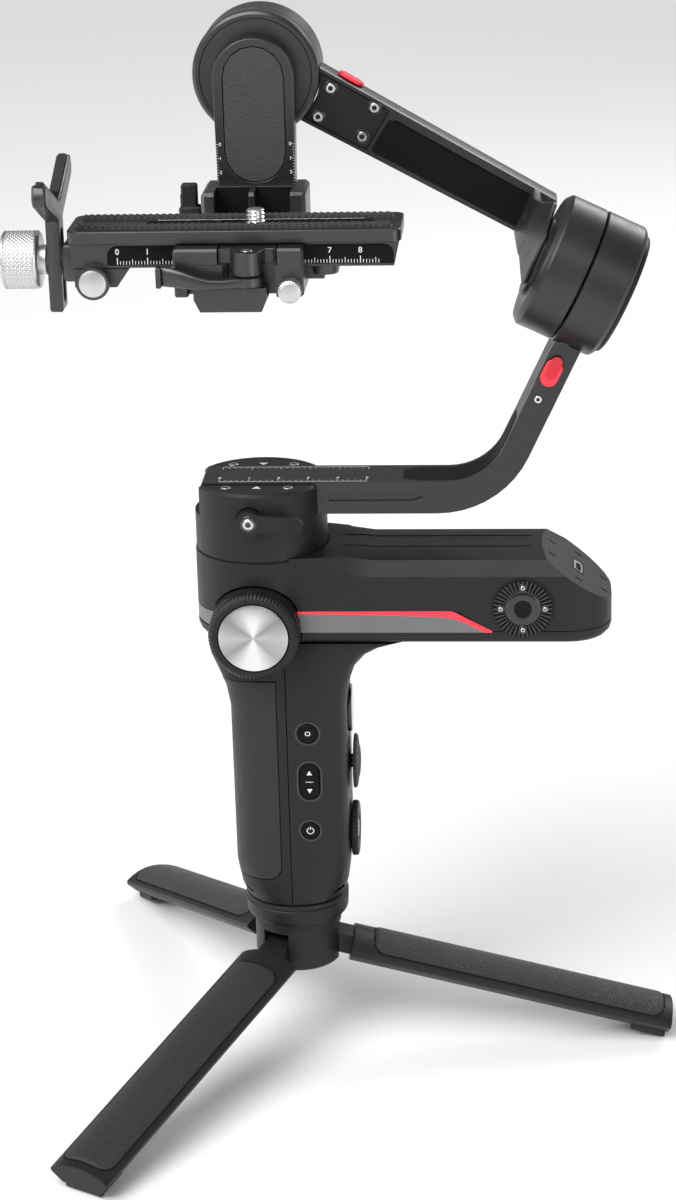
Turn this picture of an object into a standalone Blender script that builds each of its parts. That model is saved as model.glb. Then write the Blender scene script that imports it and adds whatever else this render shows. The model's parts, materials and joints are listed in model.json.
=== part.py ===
"""Handheld three-axis camera gimbal on a folding mini tripod.

Gimbal frame: +Z is up, the pan motor turns about X = Y = 0, the feet stand on Z = 0, the lens
end of the camera plate points along -X and the hand wheel faces -Y. The whole model hangs on
one root empty, which puts the world origin at the middle of the floor area it covers.
"""
from math import atan2, cos, pi, radians, sin, sqrt, tan

import bmesh
import bpy
from mathutils import Matrix, Vector

MM = 0.001
GAP = 0.3 * MM              # clearance between neighbouring pieces
WALL = 2.3 * MM             # moulded shell wall
FAR = 40 * MM               # how far a cutter reaches past what it cuts

# --- driving dimensions -------------------------------------------------------------------
# Mini tripod
HUB_X = 8.2 * MM            # grip and tripod stand this far from the pan axis
HUB_R = 15.4 * MM
HUB_BASE_Z = 30.7 * MM
COLLAR_R = 18.4 * MM
COLLAR_BASE_Z = 47.2 * MM
COLLAR_TOP_Z = 57.4 * MM
LEG_TURN = 1.1              # degrees the tripod is turned on its stud
LEG_SLOPE = radians(14.4)
LEG_HINGE_R = 11.5 * MM
LEG_HINGE_Z = 37.8 * MM
LEG_TIP_R = 133.3 * MM
LEG_HALF_WIDTH = 11.6 * MM
LEG_ROOT_S = 7.9 * MM       # distance from the hinge to the wide part of the leg

# Grip
GRIP_BASE_Z = 57.9 * MM
GRIP_TOP_Z = 156.4 * MM
GRIP_HALF = 19.95 * MM
SEAM_X = 8.0 * MM

# Body
BODY_BASE_Z = 156.8 * MM
BODY_SEAM_Z = 162.0 * MM
BODY_TOP_Z = 187.3 * MM
BODY_EDGE_Z = 186.1 * MM
BODY_SIDE_Z = 181.4 * MM
BODY_HALF = 20.5 * MM
BODY_TOP_HALF = 16.5 * MM
BODY_RIDGE = 6.3 * MM
BODY_END_X = 119.3 * MM
BODY_CUP_R = 22.9 * MM
BODY_CORNER_R = 15.0 * MM
END_SLOPE = radians(36.7)
END_TOP_X = 96.5 * MM

# Hand wheel and crown gear
DIAL_X = -1.3 * MM
DIAL_Z = 163.0 * MM
DIAL_R = 15.4 * MM
DIAL_FRONT_Y = -30.1 * MM
DIAL_BACK_Y = -17.3 * MM
GEAR_X = 89.2 * MM
GEAR_Z = 170.3 * MM
GEAR_R = 9.6 * MM

# Motors and arms
PAN_R = 22.6 * MM
PAN_BASE_Z = 187.2 * MM
PAN_TOP_Z = 210.9 * MM
BAR_HALF = 10.0 * MM
BAR_BASE_Z = 200.4 * MM
BAR_TOP_Z = 211.4 * MM
BAR_LEFT_X = -19.5 * MM
ROLL_X = 107.84 * MM        # point of the roll axis at the motor's split line
ROLL_Z = 279.82 * MM
ROLL_SLOPE = radians(25.33)
ROLL_R = 23.0 * MM
RISER_INNER = -1.5 * MM     # riser faces, measured along the roll axis
RISER_OUTER = -10.6 * MM
TILT_X = -4.6 * MM
TILT_Z = 333.9 * MM
TILT_R = 22.4 * MM
TILT_FRONT_Y = 77.0 * MM
TILT_SPLIT_Y = 84.0 * MM
TILT_BACK_Y = 102.0 * MM
ARM_FRONT_Y = 80.0 * MM     # near face of the roll arm
ARM_BACK_Y = 92.0 * MM
LEG_INNER = 15.9 * MM       # roll arm's short leg, along the roll axis
LEG_OUTER = 19.0 * MM

# Camera plate and clamp
PLATE_LEFT_X = -60.0 * MM
PLATE_RIGHT_X = 50.0 * MM
PLATE_TOP_Z = 298.6 * MM
PLATE_HALF = 13.5 * MM
RAIL_HALF = 11.5 * MM
RAIL_TOP_Z = 294.4 * MM
RAIL_BASE_Z = 286.2 * MM
CLAMP_LEFT_X = -24.2 * MM
CLAMP_RIGHT_X = 18.4 * MM
CLAMP_HALF = 20.0 * MM
CLAMP_BASE_Z = 277.9 * MM
BRACKET_X = -4.5 * MM
BRACKET_HALF = 18.3 * MM
BRACKET_BASE_Z = 273.4 * MM
BRACKET_TOP_Z = 297.4 * MM
BRACKET_FRONT_Y = 52.0 * MM
TILT_ARM_HALF = 13.8 * MM
TILT_ARM_FRONT_Y = 68.0 * MM
LENS_X = -65.6 * MM         # middle of the lens support's thickness
KNOB_END_X = -84.4 * MM

# Middle of the floor area, in the gimbal frame
FLOOR_MID = Vector((29.67 * MM, -1.09 * MM, 0))

ROLL_FRAME = (Matrix.Translation((ROLL_X, 0, ROLL_Z))
              @ Matrix.Rotation(ROLL_SLOPE - pi / 2, 4, "Y"))


# --- scene, collections, materials and pivots ----------------------------------------------
def clear_scene():
    for item in list(bpy.data.objects):
        bpy.data.objects.remove(item, do_unlink=True)


def new_collection(name):
    collection = bpy.data.collections.new(name)
    bpy.context.scene.collection.children.link(collection)
    return collection


def new_material(name, colour, roughness, metallic=0.0):
    material = bpy.data.materials.new(name)
    material.use_nodes = True
    shader = material.node_tree.nodes["Principled BSDF"]
    shader.inputs["Base Color"].default_value = (*colour, 1.0)
    shader.inputs["Roughness"].default_value = roughness
    shader.inputs["Metallic"].default_value = metallic
    return material


clear_scene()
PARTS = new_collection("camera_gimbal")
TOOLS = new_collection("cutters")
BLACK_PLASTIC = new_material("black_plastic", (0.03, 0.03, 0.032), 0.5)
BLACK_METAL = new_material("black_anodised", (0.055, 0.055, 0.058), 0.42, 0.7)
GREY_BAND = new_material("grey_band", (0.21, 0.215, 0.22), 0.45, 0.3)
RED = new_material("red_accent", (0.9, 0.04, 0.06), 0.4)
RUBBER = new_material("dark_rubber", (0.035, 0.035, 0.037), 0.85)
SILVER = new_material("bright_steel", (0.75, 0.75, 0.76), 0.25, 1.0)
GLOSS = new_material("gloss_window", (0.01, 0.01, 0.012), 0.08)
COPPER = new_material("motor_core", (0.45, 0.24, 0.12), 0.4, 0.8)
BOARD = new_material("circuit_board", (0.02, 0.12, 0.06), 0.5)
CELL = new_material("battery_wrap", (0.05, 0.16, 0.35), 0.45)

PIVOTS = {}


def pivot(name, at, parent=None):
    """An empty at a point of the gimbal frame, on the axis of the body that hangs on it."""
    empty = bpy.data.objects.new(f"axis_{name}", None)
    empty.empty_display_size = 5 * MM
    PARTS.objects.link(empty)
    spot = Vector(at)
    if parent:
        empty.parent = PIVOTS[parent][0]
        empty.location = spot - PIVOTS[parent][1]
    PIVOTS[name] = (empty, spot)


def part(item, name, body, material):
    """Name a finished piece, give it its material and hang it on its body's pivot."""
    item.name = name
    item.data.materials.clear()
    item.data.materials.append(material)
    hang(item, body)
    for face in item.data.polygons:
        face.use_smooth = True
    item.data.set_sharp_from_angle(angle=radians(35))
    return item


def hang(item, body):
    empty, spot = PIVOTS[body]
    item.parent = empty
    item.matrix_basis = Matrix.Translation(-spot) @ item.matrix_basis


# --- shapes --------------------------------------------------------------------------------
def mesh_object(name, mesh):
    item = bpy.data.objects.new(name, mesh)
    PARTS.objects.link(item)
    return item


def from_bmesh(build, name="piece"):
    mesh = bpy.data.meshes.new(name)
    build.to_mesh(mesh)
    build.free()
    return mesh_object(name, mesh)


def block(low, high):
    """Box between two corners."""
    build = bmesh.new()
    bmesh.ops.create_cube(build, size=1.0)
    size = [b - a for a, b in zip(low, high)]
    bmesh.ops.scale(build, vec=size, verts=build.verts)
    item = from_bmesh(build)
    item.location = [(a + b) / 2 for a, b in zip(low, high)]
    return item


def rod(start, end, radius, end_radius=None, sides=32):
    """Cylinder or cone between two points."""
    start, end = Vector(start), Vector(end)
    axis = end - start
    build = bmesh.new()
    bmesh.ops.create_cone(build, cap_ends=True, segments=sides, radius1=radius,
                          radius2=radius if end_radius is None else end_radius,
                          depth=axis.length)
    item = from_bmesh(build)
    turn = axis.to_track_quat("Z", "Y").to_matrix().to_4x4()
    item.matrix_basis = Matrix.Translation((start + end) / 2) @ turn
    return item


def turned(profile, frame=None, sides=36):
    """Solid of revolution; the profile runs (radius, height) from the top axis point down."""
    build = bmesh.new()
    points = [build.verts.new((radius, 0, height)) for radius, height in profile]
    for first, second in zip(points, points[1:]):
        build.edges.new((first, second))
    item = from_bmesh(build)
    screw = item.modifiers.new("turn", "SCREW")
    screw.steps = sides
    screw.render_steps = sides
    screw.use_merge_vertices = True
    screw.merge_threshold = 0.00001
    screw.use_smooth_shade = True
    item = bake(item)
    if frame is not None:
        item.matrix_basis = frame
    return item


def bake(item):
    """Replace an object by the plain mesh that its modifiers make, with loose caps welded."""
    graph = bpy.context.evaluated_depsgraph_get()
    mesh = bpy.data.meshes.new_from_object(item.evaluated_get(graph))
    build = bmesh.new()
    build.from_mesh(mesh)
    bmesh.ops.remove_doubles(build, verts=build.verts, dist=0.00001)
    bmesh.ops.recalc_face_normals(build, faces=build.faces)
    build.to_mesh(mesh)
    build.free()
    result = mesh_object("piece", mesh)
    result.matrix_basis = item.matrix_basis.copy()
    bpy.data.objects.remove(item, do_unlink=True)
    return result


def prism(points, low, high, along="Z", frame=None):
    """Flat outline pushed out between two heights along an axis of the frame."""
    curve = bpy.data.curves.new("outline", "CURVE")
    curve.dimensions = "2D"
    curve.fill_mode = "BOTH"
    curve.extrude = (high - low) / 2
    spline = curve.splines.new("POLY")
    spline.points.add(len(points) - 1)
    for spot, (across, up) in zip(spline.points, points):
        spot.co = (across, up, 0, 1)
    spline.use_cyclic_u = True
    item = bpy.data.objects.new("outline", curve)
    PARTS.objects.link(item)
    turns = {
        "Z": Matrix.Identity(4),
        "Y": Matrix(((1, 0, 0, 0), (0, 0, -1, 0), (0, 1, 0, 0), (0, 0, 0, 1))),
        "X": Matrix(((0, 0, 1, 0), (1, 0, 0, 0), (0, 1, 0, 0), (0, 0, 0, 1))),
    }
    middle = (low + high) / 2
    shift = {"Z": (0, 0, middle), "Y": (0, middle, 0), "X": (middle, 0, 0)}[along]
    place = Matrix.Translation(shift) @ turns[along]
    item.matrix_basis = place if frame is None else frame @ place
    return bake(item)


def loft(sections):
    """Closed skin over matching rings of points, capped at both ends."""
    build = bmesh.new()
    rings = [[build.verts.new(spot) for spot in ring] for ring in sections]
    count = len(rings[0])
    for lower, upper in zip(rings, rings[1:]):
        for here in range(count):
            after = (here + 1) % count
            build.faces.new((lower[here], lower[after], upper[after], upper[here]))
    build.faces.new(list(reversed(rings[0])))
    build.faces.new(rings[-1])
    bmesh.ops.recalc_face_normals(build, faces=build.faces)
    return from_bmesh(build)


def arc(centre, radius, start, end, steps):
    """Points of a circular arc, angles in degrees."""
    points = []
    for step in range(steps + 1):
        angle = radians(start + (end - start) * step / steps)
        points.append((centre[0] + radius * cos(angle), centre[1] + radius * sin(angle)))
    return points


def rounded(corners, steps=4):
    """Outline through (x, y, radius) corners, each rounded by its own radius."""
    points = []
    count = len(corners)
    for here, (x, y, radius) in enumerate(corners):
        if radius <= 0:
            points.append((x, y))
            continue
        spot = Vector((x, y))
        before = (Vector(corners[here - 1][:2]) - spot).normalized()
        after = (Vector(corners[(here + 1) % count][:2]) - spot).normalized()
        half = before.angle(after) / 2
        centre = spot + (before + after).normalized() * (radius / sin(half))
        first = spot + before * (radius / tan(half)) - centre
        last = spot + after * (radius / tan(half)) - centre
        start = atan2(first.y, first.x)
        sweep = atan2(last.y, last.x) - start
        sweep = (sweep + pi) % (2 * pi) - pi
        for step in range(steps + 1):
            angle = start + sweep * step / steps
            points.append((centre.x + radius * cos(angle), centre.y + radius * sin(angle)))
    return points


def slot_outline(centre, half_length, half_width, steps=8):
    """Upright slot with round ends, in the outline's own plane."""
    x, y = centre
    straight = half_length - half_width
    return (arc((x, y + straight), half_width, 0, 180, steps)
            + arc((x, y - straight), half_width, 180, 360, steps))


# --- joining and cutting --------------------------------------------------------------------
def combine(item, tool, how):
    """Boolean with a tool that moves to the cutter collection."""
    PARTS.objects.unlink(tool)
    TOOLS.objects.link(tool)
    tool.name = "cutter"
    tool.hide_render = True
    tool.display_type = "WIRE"
    tool.parent = PIVOTS["handle"][0]
    tool.matrix_basis = Matrix.Translation(-PIVOTS["handle"][1]) @ tool.matrix_basis
    step = item.modifiers.new(how.lower(), "BOOLEAN")
    step.operation = how
    step.object = tool
    return item


def cut(item, *tools):
    for tool in tools:
        combine(item, tool, "DIFFERENCE")
    return item


def join(item, *tools):
    for tool in tools:
        combine(item, tool, "UNION")
    return item


def inside(item, tool):
    return combine(item, tool, "INTERSECT")


def bevel(item, width, segments=1, angle=40):
    step = item.modifiers.new("bevel", "BEVEL")
    step.width = width
    step.segments = segments
    step.limit_method = "ANGLE"
    step.angle_limit = radians(angle)
    return item


def y_axis(x, z, y=0.0):
    """Frame whose own Z points along -Y, for pieces turned about a front-to-back axis."""
    return Matrix.Translation((x, y, z)) @ Matrix.Rotation(pi / 2, 4, "X")


# --- bodies ----------------------------------------------------------------------------------
def leg_azimuth(number):
    return radians(LEG_TURN + 120 * (number - 2))


def make_pivots():
    pivot("handle", (0, 0, 0))
    pivot("dial", (DIAL_X, 0, DIAL_Z), "handle")
    pivot("round_button", (ROUND_BUTTON[0], 0, ROUND_BUTTON[1]), "handle")
    pivot("rocker", (ROCKER[0], ROCKER_AXIS_Y, ROCKER[1]), "handle")
    pivot("power", (POWER_BUTTON[0], 0, POWER_BUTTON[1]), "handle")
    pivot("stick", (STICK_AXIS_X, 0, STICK_Z), "handle")
    pivot("menu_dial", (0, 0, MENU_DIAL_Z), "handle")
    for number in (1, 2, 3):
        turn = leg_azimuth(number)
        spot = (HUB_X + LEG_HINGE_R * cos(turn), LEG_HINGE_R * sin(turn), LEG_HINGE_Z)
        pivot(f"leg_{number}", spot, "handle")
    pivot("pan", (0, 0, PAN_BASE_Z), "handle")
    pivot("pan_lever", PAN_LEVER, "pan")
    pivot("pan_arm", (0, 0, BAR_BASE_Z), "pan")
    pivot("roll_lock", RISER_LOCK, "pan_arm")
    pivot("roll", (ROLL_X, 0, ROLL_Z), "pan_arm")
    pivot("roll_arm", (ROLL_X, 0, ROLL_Z), "roll")
    pivot("tilt_lock", TILT_LOCK, "roll_arm")
    pivot("tilt", (TILT_X, TILT_FRONT_Y, TILT_Z), "roll_arm")
    pivot("bracket", (BRACKET_X, TILT_ARM_FRONT_Y, BRACKET_TOP_Z), "tilt")
    pivot("bracket_lever", BRACKET_LEVER, "bracket")
    pivot("clamp_lever", (CLAMP_SCREW_X, CLAMP_SCREW_Y, RAIL_BASE_Z), "bracket")
    pivot("clamp_wedge", (CLAMP_SCREW_X, CLAMP_SCREW_Y, RAIL_TOP_Z), "bracket")
    pivot("safety_knob", SAFETY_KNOB, "bracket")
    pivot("plate", (0, 0, PLATE_TOP_Z), "bracket")
    pivot("camera_screw", (CAMERA_SCREW_X, 0, PLATE_TOP_Z), "plate")
    pivot("lens_support", (LENS_X, 0, LENS_KNOB_Z), "plate")
    pivot("lens_knob", (LENS_X, 0, LENS_KNOB_Z), "plate")
    pivot("thumb_screw", (THUMB_X, 0, THUMB_Z), "plate")


# Places of the small controls
ROUND_BUTTON = (15.2 * MM, 124.2 * MM)
ROCKER = (15.4 * MM, 106.3 * MM)
ROCKER_AXIS_Y = -17.5 * MM
POWER_BUTTON = (15.2 * MM, 87.8 * MM)
STICK_Z = 105.9 * MM
STICK_AXIS_X = 26.0 * MM
MENU_DIAL_Z = 80.1 * MM
PAN_LEVER = (-1.9 * MM, -24.0 * MM, 202.2 * MM)
RISER_LOCK = (98.8 * MM, -10.0 * MM, 249.3 * MM)
TILT_LOCK = (28.2 * MM, 86.0 * MM, 330.4 * MM)
BRACKET_LEVER = (-24.0 * MM, 60.0 * MM, 289.0 * MM)
CLAMP_SCREW_X = 0.3 * MM
CLAMP_SCREW_Y = -20.0 * MM
SAFETY_KNOB = (14.2 * MM, -24.0 * MM, 281.0 * MM)
CAMERA_SCREW_X = 1.5 * MM
LOCK_TRAVEL = 3.0 * MM
LENS_KNOB_Z = 286.6 * MM
THUMB_X = -51.5 * MM
THUMB_Z = 281.8 * MM


# --- tripod ----------------------------------------------------------------------------------
def leg_frame(number):
    """X runs out along the sloping leg, Z is its upper side, the origin is on the hinge."""
    turn = leg_azimuth(number)
    hinge = (HUB_X + LEG_HINGE_R * cos(turn), LEG_HINGE_R * sin(turn), LEG_HINGE_Z)
    return (Matrix.Translation(hinge) @ Matrix.Rotation(turn, 4, "Z")
            @ Matrix.Rotation(LEG_SLOPE, 4, "Y"))


def upright_frame(number):
    """X runs straight out from the hub's axis at floor level."""
    turn = leg_azimuth(number)
    return Matrix.Translation((HUB_X, 0, 0)) @ Matrix.Rotation(turn, 4, "Z")


def framed(item, frame):
    item.matrix_basis = frame @ item.matrix_basis
    return item


def make_tripod():
    tongue_half = 4.6 * MM
    pin_r = 1.4 * MM
    collar = turned([(0, 64 * MM), (3.1 * MM, 64 * MM), (3.1 * MM, COLLAR_TOP_Z),
                     (17.8 * MM, COLLAR_TOP_Z), (COLLAR_R, COLLAR_TOP_Z - 0.8 * MM),
                     (COLLAR_R, 52.4 * MM), (15.9 * MM, 48.0 * MM),
                     (15.9 * MM, COLLAR_BASE_Z), (0, COLLAR_BASE_Z)],
                    Matrix.Translation((HUB_X, 0, 0)), sides=32)
    part(collar, "tripod_collar", "handle", BLACK_PLASTIC)

    hub_top = COLLAR_BASE_Z - GAP
    hub = turned([(0, hub_top), (HUB_R, hub_top), (HUB_R, HUB_BASE_Z + 0.8 * MM),
                  (HUB_R - 0.8 * MM, HUB_BASE_Z), (0, HUB_BASE_Z)],
                 Matrix.Translation((HUB_X, 0, 0)), sides=36)
    for number in (1, 2, 3):
        frame = upright_frame(number)
        slot = block((4.8 * MM, -5.1 * MM, 25 * MM), (22 * MM, 5.1 * MM, 44.8 * MM))
        cut(hub, framed(slot, frame))
        pin = rod((LEG_HINGE_R, -8 * MM, LEG_HINGE_Z), (LEG_HINGE_R, 8 * MM, LEG_HINGE_Z),
                  pin_r, sides=12)
        join(hub, framed(pin, frame))
    part(hub, "tripod_hub", "handle", BLACK_PLASTIC)

    tip_s = (LEG_TIP_R - LEG_HINGE_R) / cos(LEG_SLOPE)
    section = [(-8 * MM, -4.3 * MM), (8 * MM, -4.3 * MM),
               (LEG_HALF_WIDTH, -0.7 * MM), (LEG_HALF_WIDTH, 0.5 * MM)]
    crown = arc((0, -14.8 * MM), 19.3 * MM, 54, 126, 8)
    section += [(y, z) for y, z in crown]
    section += [(-LEG_HALF_WIDTH, 0.5 * MM), (-LEG_HALF_WIDTH, -0.7 * MM)]
    for number in (1, 2, 3):
        frame = leg_frame(number)
        leg = bevel(prism(section, LEG_ROOT_S, tip_s, "X"), 0.7 * MM)
        framed(leg, frame)
        tongue = prism(rounded([(-3.8 * MM, -3.8 * MM, 3.5 * MM), (14 * MM, -3.8 * MM, 0),
                                (14 * MM, 3.4 * MM, 0), (-3.8 * MM, 3.4 * MM, 3.4 * MM)]),
                       -tongue_half, tongue_half, "Y")
        join(leg, framed(tongue, frame))
        hole = rod((0, -FAR, 0), (0, FAR, 0), pin_r + GAP, sides=16)
        cut(leg, framed(hole, frame))
        part(leg, f"tripod_leg_{number}", f"leg_{number}", BLACK_PLASTIC)
        foot = prism([(118 * MM, 0), (130 * MM, 0), (130 * MM, 2.55 * MM),
                      (118 * MM, 5.6 * MM)], -7 * MM, 7 * MM, "Y")
        framed(foot, upright_frame(number))
        part(foot, f"foot_pad_{number}", f"leg_{number}", RUBBER)


# --- grip --------------------------------------------------------------------------------------
GRIP_SECTIONS = (           # height, left x, right x, half depth, corner radius, in millimetres
    (57.9, -9.4, 25.8, 17.6, 16.0),
    (64.0, -10.8, 27.2, 18.8, 13.0),
    (74.0, -11.7, 28.1, 19.9, 10.0),
    (132.0, -11.8, 28.2, 19.95, 9.0),
    (140.0, -13.2, 29.2, 19.95, 9.0),
    (146.5, -16.0, 31.6, 19.8, 9.5),
    (151.0, -18.2, 36.0, 19.2, 10.0),
    (154.2, -19.0, 42.5, 18.6, 10.0),
    (156.4, -19.2, 52.0, 18.0, 10.0),
)


def grip_loft(grow=0.0):
    """The grip's outer form, larger by grow all round."""
    rings = []
    for height, left, right, depth, corner in GRIP_SECTIONS:
        left, right = left * MM - grow, right * MM + grow
        depth, corner = depth * MM + grow, corner * MM + grow
        outline = rounded([(left, -depth, corner), (right, -depth, corner),
                           (right, depth, corner), (left, depth, corner)], steps=5)
        rings.append([(x, y, height * MM) for x, y in outline])
    return loft(rings)


def dial_recess():
    return rod((DIAL_X, -FAR, DIAL_Z), (DIAL_X, DIAL_BACK_Y + GAP, DIAL_Z),
               DIAL_R + 0.7 * MM, sides=36)


def grip_half(low_x, high_x):
    half = grip_loft()
    cut(half, prism(rounded([(-9.4 * MM, -14.2 * MM, 5 * MM), (25.8 * MM, -14.2 * MM, 5 * MM),
                             (25.8 * MM, 17.4 * MM, 5 * MM), (-9.4 * MM, 17.4 * MM, 5 * MM)]),
                    61 * MM, 160 * MM))
    cut(half, rod((HUB_X, 0, 50 * MM), (HUB_X, 0, 70 * MM), 3.6 * MM, sides=20))
    inside(half, block((low_x, -FAR, 50 * MM), (high_x, FAR, 160 * MM)))
    return cut(half, dial_recess())


def pad_region(inset):
    return prism(rounded([(-40 * MM, 68.4 * MM + inset, 0),
                          (4.9 * MM - inset, 68.4 * MM + inset, 5 * MM - inset),
                          (4.9 * MM - inset, 143.5 * MM - inset, 0),
                          (-40 * MM, 143.5 * MM - inset, 0)]), -FAR, FAR, "Y")


def make_grip():
    left = grip_half(-60 * MM, SEAM_X - GAP / 2)
    pad_seat = cut_ready(pad_region(0), grip_loft(-1.1 * MM))
    cut(left, pad_seat)
    part(left, "grip_shell_left", "handle", BLACK_PLASTIC)

    pad = grip_loft(0.1 * MM)
    cut(pad, grip_loft(-0.8 * MM), dial_recess())
    inside(pad, pad_region(GAP))
    part(pad, "grip_pad", "handle", RUBBER)

    right = grip_half(SEAM_X + GAP / 2, 90 * MM)
    for spot, radius in ((ROUND_BUTTON, 3.4 * MM), (POWER_BUTTON, 3.05 * MM)):
        cut(right, rod((spot[0], -FAR, spot[1]), (spot[0], -10 * MM, spot[1]),
                       radius + GAP, sides=28))
    cut(right, prism(slot_outline(ROCKER, 6.6 * MM + GAP, 3.4 * MM + GAP), -FAR, -10 * MM, "Y"))
    cut(right, rod((20 * MM, 0, STICK_Z), (40 * MM, 0, STICK_Z), 4.4 * MM, sides=24))
    cut(right, rod((20 * MM, 0, MENU_DIAL_Z), (40 * MM, 0, MENU_DIAL_Z), 3.0 * MM + GAP, sides=24))
    cut(right, prism(slot_outline((0, 126 * MM), 8.6 * MM + GAP, 6.2 * MM + GAP),
                     27.4 * MM, 40 * MM, "X"))
    part(right, "grip_shell_right", "handle", BLACK_PLASTIC)

    window = bevel(prism(slot_outline((0, 126 * MM), 8.6 * MM, 6.2 * MM), 27.7 * MM, 29.6 * MM, "X"),
                   0.6 * MM)
    part(window, "display_window", "handle", GLOSS)


def cut_ready(tool, *cutters):
    """A cutter that is itself cut first."""
    return bake(cut(tool, *cutters))


def make_controls():
    face_y = -20.4 * MM
    back_y = -15.6 * MM
    for name, spot, radius in (("round_button", ROUND_BUTTON, 3.4 * MM),
                               ("power", POWER_BUTTON, 3.05 * MM)):
        button = bevel(rod((spot[0], face_y, spot[1]), (spot[0], back_y, spot[1]), radius,
                           sides=28), 0.4 * MM)
        label = "power_button" if name == "power" else name
        part(button, label, name, BLACK_PLASTIC)
    rocker = bevel(prism(slot_outline(ROCKER, 6.6 * MM, 3.4 * MM), face_y, back_y, "Y"), 0.4 * MM)
    part(rocker, "rocker_button", "rocker", BLACK_PLASTIC)

    along_x = Matrix.Rotation(pi / 2, 4, "Y")
    stick = turned([(0, 32.0 * MM), (4 * MM, 31.8 * MM), (8.0 * MM, 31.0 * MM),
                    (9.4 * MM, 30.2 * MM), (9.4 * MM, 29.8 * MM), (2.4 * MM, 29.8 * MM),
                    (2.4 * MM, 25.0 * MM), (0, 25.0 * MM)],
                   Matrix.Translation((0, 0, STICK_Z)) @ along_x, sides=24)
    part(stick, "joystick", "stick", BLACK_PLASTIC)
    wheel = turned([(0, 31.0 * MM), (9.2 * MM, 31.0 * MM), (9.75 * MM, 30.5 * MM),
                    (9.75 * MM, 28.6 * MM), (3.0 * MM, 28.6 * MM), (3.0 * MM, 25.0 * MM),
                    (0, 25.0 * MM)],
                   Matrix.Translation((0, 0, MENU_DIAL_Z)) @ along_x, sides=28)
    part(wheel, "menu_dial", "menu_dial", BLACK_PLASTIC)


def make_dial():
    frame = y_axis(DIAL_X, DIAL_Z)
    front, back = -DIAL_FRONT_Y, -DIAL_BACK_Y
    rim = turned([(0, front - 1.4 * MM), (12.3 * MM, front - 1.4 * MM), (12.3 * MM, front),
                  (14.2 * MM, front), (DIAL_R, front - 1.2 * MM), (DIAL_R, back),
                  (3.0 * MM, back), (3.0 * MM, back - 2.0 * MM), (0, back - 2.0 * MM)], frame)
    part(rim, "dial_rim", "dial", BLACK_PLASTIC)
    face = turned([(0, front + 0.5 * MM), (6 * MM, front + 0.35 * MM), (11.4 * MM, front - 0.1 * MM),
                   (12.0 * MM, front - 0.6 * MM), (12.0 * MM, front - 1.1 * MM),
                   (0, front - 1.1 * MM)], frame)
    part(face, "dial_face", "dial", SILVER)


# --- body ----------------------------------------------------------------------------------------
def body_outline(inset=0.0):
    """Plan of the body: round about the pan axis, straight sides, rounded far end."""
    half = BODY_HALF - inset
    cup = BODY_CUP_R - inset
    corner = BODY_CORNER_R - inset
    end = BODY_END_X - inset
    lean = 90 - (180 / pi) * atan2(half, sqrt(cup * cup - half * half))
    points = arc((0, 0), cup, 90 - lean, 270 + lean, 22)
    points += arc((end - corner, -(half - corner)), corner, -90, 0, 6)
    points += arc((end - corner, half - corner), corner, 0, 90, 6)
    return points


def end_slope_tool():
    """Everything above the slanted end face."""
    rise = sin(END_SLOPE) / cos(END_SLOPE)
    top_x, top_z = END_TOP_X, BODY_TOP_Z - 0.6 * MM
    return prism([(top_x - 6 * MM, top_z + 6 * MM * rise), (top_x + FAR, top_z - FAR * rise),
                  (top_x + FAR, top_z + FAR), (top_x - 6 * MM, top_z + FAR)], -FAR, FAR, "Y")


def shoulder_tool(side):
    """Removes the body's upper edge on one side, rising out of the edge near the motor."""
    rings = []
    for x, lift in ((11 * MM, 6.2 * MM), (20 * MM, 5.0 * MM), (30 * MM, 1.2 * MM),
                    (38 * MM, 0), (130 * MM, 0)):
        rings.append([(x, side * y, z + lift) for y, z in (
            (0, BODY_TOP_Z + 0.1 * MM), (BODY_RIDGE, BODY_TOP_Z),
            (BODY_TOP_HALF, BODY_EDGE_Z), (BODY_HALF, BODY_SIDE_Z),
            (BODY_HALF + 8 * MM, BODY_SIDE_Z - 6 * MM), (BODY_HALF + 8 * MM, BODY_TOP_Z + FAR),
            (0, BODY_TOP_Z + FAR))])
    return loft(rings)


def band_region(points, low_y, high_y):
    return prism([(x * MM, z * MM) for x, z in points], low_y, high_y, "Y")


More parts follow.
